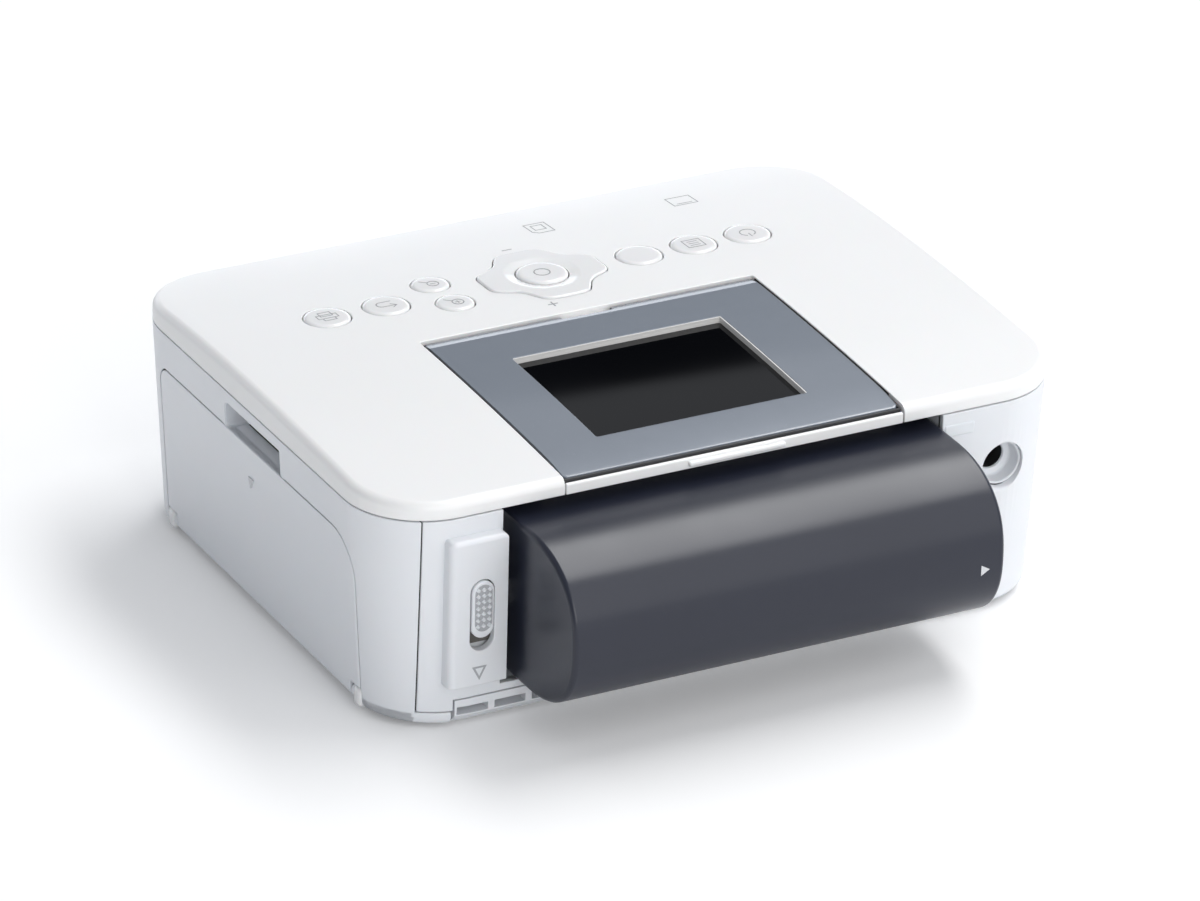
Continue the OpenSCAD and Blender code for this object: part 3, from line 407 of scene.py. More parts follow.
    def slice(self, axis: Axis, places: Iterable[float]) -> "Form":
        """Adds lines of points across the form at places along an axis.

        Args:
            axis: Axis that the cuts stand across.
            places: Where the cuts go.

        Returns:
            The same form.
        """
        way = Vector((0, 0, 0))
        way[axis.value] = 1.0
        for place in places:
            geom = [*self.mesh.verts, *self.mesh.edges, *self.mesh.faces]
            bmesh.ops.bisect_plane(self.mesh, geom=geom, dist=1e-4, plane_co=way * place, plane_no=way)
        return self

    def warp(self, move: Callable[[Vector], Vector]) -> "Form":
        """Moves every point by a rule."""
        for vert in self.mesh.verts:
            vert.co = move(vert.co)
        return self

    def crowned(self, drop: Callable[[float], float] = cover_drop, step: float = 4.5) -> "Form":
        """Bends a flat form down along the crown of the top.

        Args:
            drop: How far the surface lies below the highest line at a place along the depth.
            step: Distance between the lines of points that are added.

        Returns:
            The same form.
        """
        places = [v.co.y for v in self.mesh.verts]
        front, length = min(places), max(places) - min(places)
        count = max(1, math.ceil(length / step))
        self.slice(Axis.Y, [front + length * i / count for i in range(1, count)])

        def bent(p: Vector) -> Vector:
            """Place of a point on the bent form; the bend fades out below the top."""
            share = min(1.0, max(0.0, (p.z - BEND_Z) / BEND_FADE))
            return Vector((p.x, p.y, p.z - drop(p.y) * share))

        return self.warp(bent)

    def leaned(self) -> "Form":
        """Leans the two side walls in towards the base."""

        def leant(p: Vector) -> Vector:
            """Place of a point once leaned in; the lean grows from 60 to 68 mm off the middle."""
            share = min(1.0, max(0.0, (abs(p.x) - 60.0) / 8.0))
            return Vector((p.x - math.copysign(lean(p.z) * share, p.x), p.y, p.z))

        return self.warp(leant)

    def piece(self, name: str, finish: "Finish", body: Body,
              replaces: Sequence[str] = ()) -> bpy.types.Object:
        """Turns the form into a piece of the scene.

        Args:
            name: Name of the piece.
            finish: Its finish.
            body: Body that it rides on.
            replaces: Nodes that it stands for.

        Returns:
            The new object.
        """
        self.outward()
        self.transform(Matrix.Diagonal((MM, MM, MM, 1)) @ Matrix.Translation((0, SHIFT_Y, 0)))
        data = bpy.data.meshes.new(name)
        self.mesh.to_mesh(data)
        self.mesh.free()
        data.shade_smooth()
        data.set_sharp_from_angle(angle=math.radians(48))
        data.materials.append(finish.material())
        made = put_down(name, data)
        weighted = made.modifiers.new("weighted", "WEIGHTED_NORMAL")
        weighted.keep_sharp = True
        weighted.weight = 80
        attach(made, body.value)
        if replaces:
            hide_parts(*replaces)
        log.info("%s: %d faces on %s", name, len(data.polygons), body.value)
        return made


def plan_box(inset: float, low: float, high: float) -> Form:
    """Box with the plan of the case.

    Args:
        inset: Distance inside the outer face.
        low: Lowest height.
        high: Highest height.

    Returns:
        The form, with its four upright corners rounded.
    """
    form = Form.box((inset - HALF_W, inset - HALF_D, low), (HALF_W - inset, HALF_D - inset, high))
    return form.round(CORNER_R - inset, 16, upright)


def case_solid(inset: float) -> Form:
    """Solid of the lower case, in from its outer face by an inset."""
    return plan_box(inset, BASE_Z, SEAM_Z).round(2.0, 4, level(Axis.Z, BASE_Z)).leaned()


def case_walls() -> Form:
    """Walls of the lower case as one ring."""
    return case_solid(0.0).carve(plan_box(WALL, -1.0, SEAM_Z + 2.0).leaned())


# ---- materials ----


class Graph:
    """Short hand for building a node tree."""

    def __init__(self, tree: bpy.types.NodeTree) -> None:
        """Takes the tree to build in."""
        self.tree = tree

    def add(self, kind: str, **values: object) -> bpy.types.Node:
        """Adds a node.

        Args:
            kind: Type name of the node.
            values: Settings of the node, or values of its inputs by name with spaces as underscores.

        Returns:
            The new node.
        """
        node = self.tree.nodes.new(kind)
        for key, value in values.items():
            label = key.replace("_", " ")
            if label in node.inputs:
                node.inputs[label].default_value = value
            else:
                setattr(node, key, value)
        return node

    def link(self, start: Socket, end: Socket) -> None:
        """Joins two sockets."""
        self.tree.links.new(start, end)

    def noise(self, vector: Socket, scale: float, detail: float = 2.0, rough: float = 0.5) -> Socket:
        """Noise over a vector.

        Args:
            vector: Coordinates.
            scale: Scale of the noise.
            detail: Number of finer layers.
            rough: Weight of the finer layers.

        Returns:
            The noise value.
        """
        node = self.add("ShaderNodeTexNoise", Scale=scale, Detail=detail, Roughness=rough)
        self.link(vector, node.inputs["Vector"])
        return node.outputs["Fac"]

    def ranged(self, value: Socket, start: Point2, end: Point2 = (0.0, 1.0)) -> Socket:
        """Maps a value smoothly from one range to another.

        Args:
            value: Value to map.
            start: Range that it comes in.
            end: Range that it goes to.

        Returns:
            The mapped value.
        """
        node = self.add("ShaderNodeMapRange", interpolation_type="SMOOTHSTEP")
        for index, number in zip((1, 2, 3, 4), (*start, *end)):
            node.inputs[index].default_value = number
        self.link(value, node.inputs[0])
        return node.outputs[0]

    def combined(self, operation: str, first: Socket, second: Socket | float) -> Socket:
        """Works out one value from two.

        Args:
            operation: Name of the sum.
            first: First value.
            second: Second value, or a plain number.

        Returns:
            The result.
        """
        node = self.add("ShaderNodeMath", operation=operation)
        self.link(first, node.inputs[0])
        if isinstance(second, float):
            node.inputs[1].default_value = second
        else:
            self.link(second, node.inputs[1])
        return node.outputs[0]

    def mixed(self, share: Socket, first: Socket | Colour, second: Colour) -> Socket:
        """Mixes two colours.

        Args:
            share: Share of the second colour.
            first: First colour, plain or from another node.
            second: Second colour.

        Returns:
            The mixed colour.
        """
        node = self.add("ShaderNodeMix", data_type="RGBA")
        self.link(share, node.inputs["Factor"])
        if isinstance(first, tuple):
            node.inputs[6].default_value = (*first, 1.0)
        else:
            self.link(first, node.inputs[6])
        node.inputs[7].default_value = (*second, 1.0)
        return node.outputs[2]


class Effects:
    """Node groups that several finishes share, each made once."""

    @staticmethod
    def _group(name: str, output: str) -> tuple[Graph, Socket]:
        """Empty group with a vector, a scale and one output.

        Args:
            name: Name of the group.
            output: Name of its output.

        Returns:
            A graph on the group, and the vector after scaling.
        """
        tree = bpy.data.node_groups.new(name, "ShaderNodeTree")
        tree.interface.new_socket("Vector", in_out="INPUT", socket_type="NodeSocketVector")
        size = tree.interface.new_socket("Scale", in_out="INPUT", socket_type="NodeSocketFloat")
        size.default_value = 1.0
        tree.interface.new_socket(output, in_out="OUTPUT", socket_type="NodeSocketFloat")
        graph = Graph(tree)
        entry = graph.add("NodeGroupInput")
        scaled = graph.add("ShaderNodeVectorMath", operation="SCALE")
        graph.link(entry.outputs["Vector"], scaled.inputs[0])
        graph.link(entry.outputs["Scale"], scaled.inputs["Scale"])
        return graph, scaled.outputs[0]

    @staticmethod
    def _close(graph: Graph, value: Socket) -> bpy.types.NodeTree:
        """Sends a value to the group's output and gives the group back."""
        graph.link(value, graph.add("NodeGroupOutput").inputs[0])
        return graph.tree

    @classmethod
    @cache
    def clouds(cls) -> bpy.types.NodeTree:
        """Slow clouding of a moulded or plated surface."""
        graph, vector = cls._group("clouds", "Mask")
        return cls._close(graph, graph.ranged(graph.noise(vector, 24.0, 3.0, 0.55), (0.15, 0.85)))

    @classmethod
    @cache
    def grain(cls) -> bpy.types.NodeTree:
        """Fine grain of a spark-eroded mould."""
        graph, vector = cls._group("grain", "Height")
        cells = graph.add("ShaderNodeTexVoronoi", feature="SMOOTH_F1", Scale=1400.0, Smoothness=0.7)
        graph.link(vector, cells.inputs["Vector"])
        fine = graph.noise(vector, 2600.0)
        return cls._close(graph, graph.combined("ADD", cells.outputs["Distance"], fine))

    @classmethod
    @cache
    def specks(cls) -> bpy.types.NodeTree:
        """Sparse specks and rubbed spots."""
        graph, vector = cls._group("specks", "Mask")
        return cls._close(graph, graph.ranged(graph.noise(vector, 620.0, 4.0, 0.7), (0.62, 0.74)))

    @classmethod
    @cache
    def streaks(cls) -> bpy.types.NodeTree:
        """Long fine streaks along the width, as of brushed or turned metal."""
        graph, vector = cls._group("streaks", "Height")
        drawn = graph.add("ShaderNodeMapping")
        drawn.inputs["Scale"].default_value = (14.0, 1500.0, 1500.0)
        graph.link(vector, drawn.inputs["Vector"])
        return cls._close(graph, graph.noise(drawn.outputs[0], 1.0, 4.0, 0.65))


class Texture(Enum):
    """Kinds of small relief on a surface."""

    GRAIN = "grain"
    STREAKS = "streaks"


@dataclass(frozen=True)
class Finish:
    """Finish of a surface, with everything its material needs.

    Args:
        slot: Material slot of the record that it stands for.
        name: Name of the material.
        colour: Main colour.
        shade: Second tone of the clouding.
        roughness: Lowest and highest roughness.
        metallic: Metallic share.
        coat: Weight of the clear coat.
        relief: Strength of the small relief.
        texture: Kind of relief.
        scale: Scale of clouding and relief.
        subsurface: Weight of the light scattered inside.
        specks: Colour of the sparse specks, if there are any.
    """

    slot: str
    name: str
    colour: Colour
    shade: Colour
    roughness: Point2
    metallic: float = 0.0
    coat: float = 0.0
    relief: float = 0.1
    texture: Texture = Texture.GRAIN
    scale: float = 1.0
    subsurface: float = 0.0
    specks: Colour | None = None

    def material(self) -> bpy.types.Material:
        """Material of this finish, made once and shared."""
        label = f"finish_{self.name}"
        if label in bpy.data.materials:
            return bpy.data.materials[label]
        made = bpy.data.materials.new(label)
        made.use_nodes = True
        graph = Graph(made.node_tree)
        shader = made.node_tree.nodes["Principled BSDF"]
        values = {"Metallic": self.metallic, "Coat Weight": self.coat, "Coat Roughness": COAT_ROUGHNESS,
                  "Subsurface Weight": self.subsurface, "Subsurface Scale": SCATTER_DEPTH}
        for entry, value in values.items():
            shader.inputs[entry].default_value = value
        place = graph.add("ShaderNodeTexCoord").outputs["Object"]
        mask = self._effect(graph, Effects.clouds(), place)
        colour = graph.mixed(mask, self.colour, self.shade)
        if self.specks:
            colour = graph.mixed(self._effect(graph, Effects.specks(), place), colour, self.specks)
        graph.link(colour, shader.inputs["Base Color"])
        graph.link(graph.ranged(mask, (0.0, 1.0), self.roughness), shader.inputs["Roughness"])
        bump = graph.add("ShaderNodeBump", Strength=self.relief, Distance=RELIEF_DEPTH)
        group = Effects.grain() if self.texture is Texture.GRAIN else Effects.streaks()
        graph.link(self._effect(graph, group, place), bump.inputs["Height"])
        graph.link(bump.outputs["Normal"], shader.inputs["Normal"])
        return made

    def _effect(self, graph: Graph, tree: bpy.types.NodeTree, place: Socket) -> Socket:
        """Adds a shared effect at this finish's scale.

        Args:
            graph: Tree to build in.
            tree: Group of the effect.
            place: Coordinates.

        Returns:
            The effect's output.
        """
        node = graph.add("ShaderNodeGroup", node_tree=tree)
        node.inputs["Scale"].default_value = self.scale
        graph.link(place, node.inputs["Vector"])
        return node.outputs[0]


COAT_ROUGHNESS = 0.06
SCATTER_DEPTH = 0.002
RELIEF_DEPTH = 0.00004

SHELL = Finish("white_shell", "white_shell", (0.85, 0.85, 0.845), (0.83, 0.831, 0.83), (0.30, 0.38),
               coat=0.12, relief=0.05, subsurface=0.04)
# Same white plastic as the top, painted darker and bluer as the shade that falls on the lower case's walls,
# doors and base
SHADED_SIDE = Finish("white_shell", "shell_side_painted_shade", (0.77, 0.785, 0.81), (0.745, 0.765, 0.795), (0.34, 0.42),
              coat=0.08, relief=0.07, subsurface=0.04)
KEY = Finish("white_key", "white_key", (0.83, 0.83, 0.83), (0.81, 0.81, 0.815), (0.20, 0.265), coat=0.25,
             relief=0.02, subsurface=0.05)
PRINTING = Finish("dark_plastic", "grey_printing", (0.3, 0.3, 0.31), (0.34, 0.34, 0.35), (0.45, 0.55),
                  relief=0.03)
BEZEL = Finish("dark_bezel", "smoked_bezel", (0.18, 0.206, 0.246), (0.167, 0.192, 0.231), (0.42, 0.48),
               metallic=0.15, coat=1.0, relief=0.02, scale=2.0, specks=(0.21, 0.24, 0.283))
PANEL = Finish("display", "display_panel", (0.0012, 0.0014, 0.002), (0.0018, 0.002, 0.003), (0.04, 0.06),
               relief=0.004)
RUBBER = Finish("rubber", "soft_rubber", (0.035, 0.035, 0.037), (0.05, 0.05, 0.052), (0.62, 0.8),
                relief=0.5, scale=0.7, specks=(0.09, 0.09, 0.09))
STEEL = Finish("bright_steel", "turned_steel", (0.62, 0.63, 0.65), (0.54, 0.55, 0.57), (0.2, 0.34),
               metallic=1.0, relief=0.12, texture=Texture.STREAKS)
SHEET = Finish("sheet_steel", "plated_sheet", (0.55, 0.57, 0.60), (0.48, 0.50, 0.52), (0.34, 0.5),
               metallic=1.0, relief=0.18, texture=Texture.STREAKS, specks=(0.4, 0.41, 0.43))
FLEX = Finish("flex_film", "amber_film", (0.55, 0.27, 0.06), (0.45, 0.2, 0.04), (0.25, 0.35), coat=0.4,
              relief=0.08)
INNER = Finish("inner_plastic", "inner_plastic", (0.62, 0.63, 0.65), (0.57, 0.58, 0.60), (0.5, 0.62),
               relief=0.2)
BOARD = Finish("circuit_board", "circuit_board", (0.03, 0.16, 0.08), (0.02, 0.11, 0.055), (0.3, 0.42),
               coat=0.3, relief=0.25, texture=Texture.STREAKS, scale=0.4, specks=(0.45, 0.38, 0.16))
DARK = Finish("dark_plastic", "dark_plastic", (0.028, 0.028, 0.031), (0.04, 0.04, 0.043), (0.42, 0.56),
              relief=0.3)
HEAD = Finish("head_aluminium", "cast_aluminium", (0.62, 0.63, 0.64), (0.55, 0.56, 0.57), (0.3, 0.45),
              metallic=1.0, relief=0.2, texture=Texture.STREAKS)
CASSETTE = Finish("cassette_plastic", "cassette_plastic", (0.22, 0.24, 0.27), (0.19, 0.21, 0.24),
                  (0.42, 0.55), relief=0.25)
RIBBON = Finish("ribbon_film", "ribbon_film", (0.05, 0.04, 0.05), (0.09, 0.05, 0.07), (0.12, 0.2), coat=0.6,
                relief=0.04, texture=Texture.STREAKS)
BRASS = Finish("brass_gear", "cut_brass", (0.62, 0.45, 0.18), (0.5, 0.35, 0.13), (0.24, 0.36), metallic=1.0,
               relief=0.1, texture=Texture.STREAKS)
GEAR = Finish("gear_plastic", "gear_plastic", (0.70, 0.69, 0.64), (0.65, 0.64, 0.59), (0.38, 0.5),
              relief=0.15, subsurface=0.1)
BATTERY = Finish("battery_plastic", "battery_plastic", (0.0155, 0.0185, 0.0325), (0.0145, 0.0172, 0.03),
                 (0.28, 0.33), relief=0.1)
RIM = Finish("inner_plastic", "display_rim", (0.72, 0.71, 0.69), (0.68, 0.67, 0.66), (0.3, 0.4),
             relief=0.06)
# Black plastic of the socket tongues and the jack body, and also painted shade in the gaps beside the display
# well, round the ink door and between the rear and right covers
BLACK_AND_GAP_SHADE = Finish("dark_plastic", "black_and_painted_gap_shade", (0.008, 0.008, 0.009), (0.012, 0.012, 0.013), (0.6, 0.75),
               relief=0.3)
# White plastic painted mid grey as the shade in the moulded arrow by the slider and between the knurl's bumps
GROOVE_SHADE = Finish("white_shell", "painted_groove_shade", (0.40, 0.41, 0.43), (0.36, 0.37, 0.39), (0.5, 0.6),
                relief=0.1)
# White plastic painted dark as the shade at the back of the finger notch and in the slot behind the slider
HOLLOW_SHADE = Finish("white_shell", "painted_hollow_shade", (0.125, 0.118, 0.106), (0.105, 0.1, 0.09), (0.5, 0.62),
                relief=0.15)
ARROW = Finish("white_key", "pale_printing", (0.62, 0.63, 0.65), (0.58, 0.59, 0.61), (0.4, 0.5),
               relief=0.05)
# Finish of each material slot of the construction model
FINISHES = (SHELL, KEY, BEZEL, PANEL, RUBBER, STEEL, SHEET, FLEX, INNER, BOARD, DARK, HEAD, CASSETTE, RIBBON,
            BRASS, GEAR, BATTERY)


# ---- parts of the printer ----


@dataclass
class Mark:
    """Small printed figure, built of thin strokes in its own plane.

    Args:
        centre: Place of its middle on the top.
        height: Height of the surface it is printed on, with the crown flat.
        line: Width of a stroke.
        size: Enlargement of the figure.
        form: Strokes so far.
    """

    centre: Point2
    height: float
    line: float = 0.34
    size: float = 1.0
    form: Form = field(default_factory=Form)

    def stroke(self, *points: Point2) -> "Mark":
        """Adds straight strokes between points given from the mark's middle."""
        half = self.line / 2
        for a, b in zip(points, points[1:]):
            way = Vector((b[0] - a[0], b[1] - a[1], 0))
            bar = Form.box((-half, -half, 0.0), (way.length + half, half, 0.03))
            turn = Matrix.Rotation(math.atan2(way.y, way.x), 4, "Z")
            self.form.add(bar.transform(Matrix.Translation((a[0], a[1], 0)) @ turn))
        return self

    def ring(self, centre: Point2, radius: float, start: float = 0.0, end: float = 360.0) -> "Mark":
        """Adds an arc.

        Args:
            centre: Middle of the arc from the mark's middle.
            radius: Radius of its middle line.
            start: First angle in degrees.
            end: Last angle in degrees.

        Returns:
            The same mark.
        """
        steps = max(6, round(abs(end - start) / 12))
        return self.stroke(*arc(centre, radius, start, end, steps))

    def frame(self, low: Point2, high: Point2) -> "Mark":
        """Adds an upright rectangle between two corners."""
        return self.stroke(low, (high[0], low[1]), high, (low[0], high[1]), low)

    def piece(self, name: str, body: Body) -> bpy.types.Object:
        """Lays the mark on the surface and makes it a piece."""
        self.form.transform(Matrix.Translation((*self.centre, self.height + 0.006)) @ Matrix.Diagonal(
            (self.size, self.size, 1.0, 1.0)))
        return self.form.crowned(step=2.0).piece(name, PRINTING, body)


KEY_Y = -26.3
PAD = (0.6, -26.8)
KEYS = {"print": (56.8, KEY_Y, 11.2), "back": (41.6, KEY_Y, 11.2), "edit": (-24.9, KEY_Y, 11.2),
        "menu": (-39.5, KEY_Y, 11.2), "power": (-54.0, KEY_Y, 11.2), "zoom_out": (26.9, -32.8, 9.2),
        "zoom_in": (26.4, -20.8, 9.2)}
KEY_GAP = 0.25
KEY_TOP = CASE_H + 0.35
PAD_TOP = CASE_H + 0.42
SCREEN_TOP = CASE_H - 0.1
HINGE = (-2.7, 57.645)
PAPER_HINGE = (-65.54, 3.9)
BARREL_R = 1.9
# Rounding of a moulded edge
EDGE = 0.22
# Heights between which a cutter goes through the top
BELOW, ABOVE = 50.0, 70.0


def pad_plan(grow: float, low: float, high: float) -> Form:
    """Four-armed outline of the pad, as a smooth curve through the points of one quarter, drawn out upwards.

    Args:
        grow: Distance outside the pad's own edge.
        low: Lowest height.
        high: Highest height.

    Returns:
        The form.
    """
    quarter = [(15.3, 0.0), (15.3, 3.0), (14.6, 4.8), (12.7, 6.0), (10.3, 7.1), (8.4, 8.9), (7.1, 11.2),
               (5.7, 13.1), (3.5, 13.9), (0.0, 14.0)]
    half = quarter + [(-x, y) for x, y in reversed(quarter[:-1])]
    loop = [Vector(p) for p in half + [(x, -y) for x, y in reversed(half[1:-1])]]
    outline: list[Point2] = []
    for i, start in enumerate(loop):
        end = loop[(i + 1) % len(loop)]
        into, out = (end - loop[i - 1]) / 2, (loop[(i + 2) % len(loop)] - start) / 2
        for t in (0.0, 0.25, 0.5, 0.75):
            way = ((6 * t ** 2 - 6 * t) * (start - end) + (3 * t ** 2 - 4 * t + 1) * into
                   + (3 * t ** 2 - 2 * t) * out)
            place = ((2 * t ** 3 - 3 * t ** 2 + 1) * start + (t ** 3 - 2 * t ** 2 + t) * into
                     + (3 * t ** 2 - 2 * t ** 3) * end + (t ** 3 - t ** 2) * out)
            place += Vector((way.y, -way.x)).normalized() * grow + Vector(PAD)
            outline.append((place.x, place.y))
    return Form.prism(outline, Axis.Z, low, high)


def barrel(low: float, high: float, hinge: Point2, axis: Axis) -> Form:
    """Stretch of a door's hinge barrel, between two places along its axis."""
    return Form.rod(BARREL_R, low, high, hinge, axis, 40).round(0.25, 2)


@dataclass
class TopCover:
    """White cover on top, with the holes for the keys and the well of the display."""

    well_half: float = 43.6
    well_front: float = -5.0

    def build(self) -> None:
        """Builds the cover, the floor of the well with dark sheets of painted shade in the gaps at its two
        sides, the hinge knuckle and the posts.
        """
        self._cover()
        Form.box((-45.0, -6.4, 51.6), (45.0, 60.0, 53.0)).round(0.4, 2).piece("well_floor", SHELL, Body.CASE)
        # Dark sheets in the gaps beside the bezel: painted shade of the deep well
        gap_shade = Form()
        for inner, outer in ((-43.59, -43.4), (43.4, 43.59)):
            gap_shade.add(Form.box((inner, -3.6, 53.02), (outer, 60.0, CASE_H - 0.3)))
        gap_shade.crowned().piece("well_gap_painted_shade", BLACK_AND_GAP_SHADE, Body.CASE)
        knuckle = Form.rod(1.5, -5.4, 7.2, HINGE, Axis.X, 48).round(0.2, 2)
        knuckle.add(Form.box((-5.2, -5.6, 56.3), (7.0, -2.7, 57.8)).round(0.3, 2))
        knuckle.piece("hinge_knuckle", SHELL, Body.CASE)
        for x in (-64.8, 64.8):
            for y in (-39.5, -13.0):
                post = Form.rod(2.2, 51.8, crown(y) - 1.4, (x, y), Axis.Z, 32).round(0.2, 2)
                post.piece(f"cover_post_{x:.0f}_{y:.0f}".replace("-", "m"), SHELL, Body.CASE)

    def _cover(self) -> None:
        """Builds the cover itself flat and then bends it down along the crown."""
        form = plan_box(0.0, SEAM_Z + SEAM_GAP, CASE_H).round(2.0, 5, level(Axis.Z, CASE_H))
        form.round(0.3, 2, level(Axis.Z, SEAM_Z + SEAM_GAP))
        room = plan_box(WALL, BELOW, CASE_H - WALL).carve(Form.box((-45.0, -6.4, 49.0), (45.0, 90.0, ABOVE)))
        well = Form.box((-self.well_half, self.well_front, BELOW), (self.well_half, 90.0, ABOVE))
        well.round(0.6, 3, upright)
        holes = [Form.rod(d / 2 + KEY_GAP, BELOW, ABOVE, (x, y), Axis.Z, 72) for x, y, d in KEYS.values()]
        form.carve(room, well, *holes, pad_plan(KEY_GAP, BELOW, ABOVE))
        form.round(EDGE, 3, level(Axis.Z, CASE_H))
        form.crowned().piece("cover_top", SHELL, Body.CASE, ["top_cover"])


class Keys:
    """Round keys, the four-way pad and its centre key, with their printed marks."""

    def build(self) -> None:
        """Builds every key."""
        for name, (x, y, d) in KEYS.items():
            self._key(name, x, y, d / 2)
        self._pad()
        self._centre()

    def _key(self, name: str, x: float, y: float, r: float) -> None:
        """Builds one round key.

        Args:
            name: Name of the key.
            x: Place along the width.
            y: Place along the depth.
            r: Radius.
        """
        top = KEY_TOP
        profile = [(0, top), (r - 1.3, top), (r - 0.8, top - 0.05), (r - 0.4, top - 0.2),
                   (r - 0.12, top - 0.48), (r, top - 0.9), (r, 56.2), (r + 0.9, 56.2), (r + 0.9, 55.0),
                   (1.8, 55.0), (1.8, 53.2), (0, 53.2)]
        form = Form.lathe(profile, (x, y), Axis.Z)
        form.crowned(step=30.0).piece(f"key_{name}", KEY, Body(f"{name}_button"), [f"{name}_button"])

    def _pad(self) -> None:
        """Builds the pad with a shallow dish round its centre key."""
        form = pad_plan(0.0, PAD_TOP - 1.85, PAD_TOP)
        form.round(0.5, 4, level(Axis.Z, PAD_TOP))
        hollow = [(0, PAD_TOP - 0.55), (6.6, PAD_TOP - 0.55), (7.6, PAD_TOP - 0.32), (8.6, PAD_TOP - 0.1),
                  (9.6, PAD_TOP + 0.02), (10.4, PAD_TOP + 0.3), (0, PAD_TOP + 0.3)]
        dish = Form.lathe(hollow, PAD, Axis.Z, 96)
        hole = Form.rod(6.5, BELOW, ABOVE, PAD, Axis.Z, 96)
        form.carve(dish, hole)
        form.crowned(step=3.0).piece("key_pad", KEY, Body.PAD, ["direction_pad"])

    def _centre(self) -> None:
        """Builds the key in the middle of the pad."""
        top, r = PAD_TOP + 0.15, 6.2
        profile = [(0, top - 0.12), (3.0, top - 0.1), (4.6, top - 0.02), (5.3, top - 0.02),
                   (5.75, top - 0.14), (6.05, top - 0.42), (r, top - 0.8), (r, 53.2), (0, 53.2)]
        Form.lathe(profile, PAD, Axis.Z).crowned(step=30.0).piece("key_centre", KEY, Body.OK, ["ok_button"])


class Marks:
    """Printed figures on the keys and the cover."""

    def build(self) -> None:
        """Prints every figure."""
        self._on_keys()
        self._on_cover()

    @staticmethod
    def _key(name: str, size: float = 1.5) -> Mark:
        """Blank mark on top of a key."""
        return Mark(KEYS[name][:2], KEY_TOP, 0.23 / size, size)

    def _on_keys(self) -> None:
        """Prints the figures on the keys."""
        printer = self._key("print").frame((-1.7, -0.6), (1.7, 0.7)).frame((-1.0, -1.5), (1.0, -0.1))
        printer.stroke((-1.0, 0.7), (-1.0, 1.5), (1.0, 1.5), (1.0, 0.7)).piece("mark_print", Body.PRINT)
        turn = self._key("back").stroke((-1.5, 0.7), (0.7, 0.7)).ring((0.7, -0.15), 0.85, 90, -90)
        turn.stroke((0.7, -1.0), (-1.1, -1.0)).stroke((-0.7, 1.35), (-1.5, 0.7), (-0.7, 0.05))
        turn.piece("mark_back", Body.BACK)
        page = self._key("menu").frame((-1.5, -1.4), (1.5, 1.4))
        for y in (0.7, 0.0, -0.7):
            page.stroke((-0.8, y), (0.8, y))
        page.piece("mark_menu", Body.MENU)
        power = self._key("power", 1.2).ring((0, 0), 1.55, 118, 422).stroke((0, 0.55), (0, 2.0))
        power.piece("mark_power", Body.POWER)
        for name in ("zoom_out", "zoom_in"):
            lens = self._key(name, 1.3).ring((-0.4, 0.3), 1.05).stroke((0.38, -0.42), (1.6, -1.5))
            lens.stroke((-0.85, 0.3), (0.05, 0.3))
            if name == "zoom_in":
                lens.stroke((-0.4, -0.15), (-0.4, 0.75))
            lens.piece(f"mark_{name}", Body(f"{name}_button"))
        Mark(PAD, PAD_TOP + 0.05, 0.24).ring((0, 0), 1.9).piece("mark_centre", Body.OK)

    def _on_cover(self) -> None:
        """Prints the figures round the pad and by the card slots."""
        Mark((1.3, -43.5), CASE_H, 0.34).stroke((-1.1, 0), (1.1, 0)).piece("mark_minus", Body.CASE)
        plus = Mark((6.2, -10.4), CASE_H, 0.34).stroke((-1.1, 0), (1.1, 0)).stroke((0, -1.1), (0, 1.1))
        plus.piece("mark_plus", Body.CASE)
        narrow = Mark((-12.0, -52.6), CASE_H, 0.13, 1.8)
        narrow.stroke((-1.5, -1.7), (1.5, -1.7), (1.5, 1.0), (0.8, 1.7), (-1.5, 1.7), (-1.5, -1.7))
        narrow.frame((-0.8, -1.0), (0.8, 0.6)).piece("mark_card_narrow", Body.CASE)
        wide = Mark((-50.2, -52.2), CASE_H, 0.15, 1.5).frame((-2.1, -1.7), (2.1, 1.7))
        wide.stroke((-1.3, 1.1), (1.3, 1.1)).piece("mark_card_wide", Body.CASE)


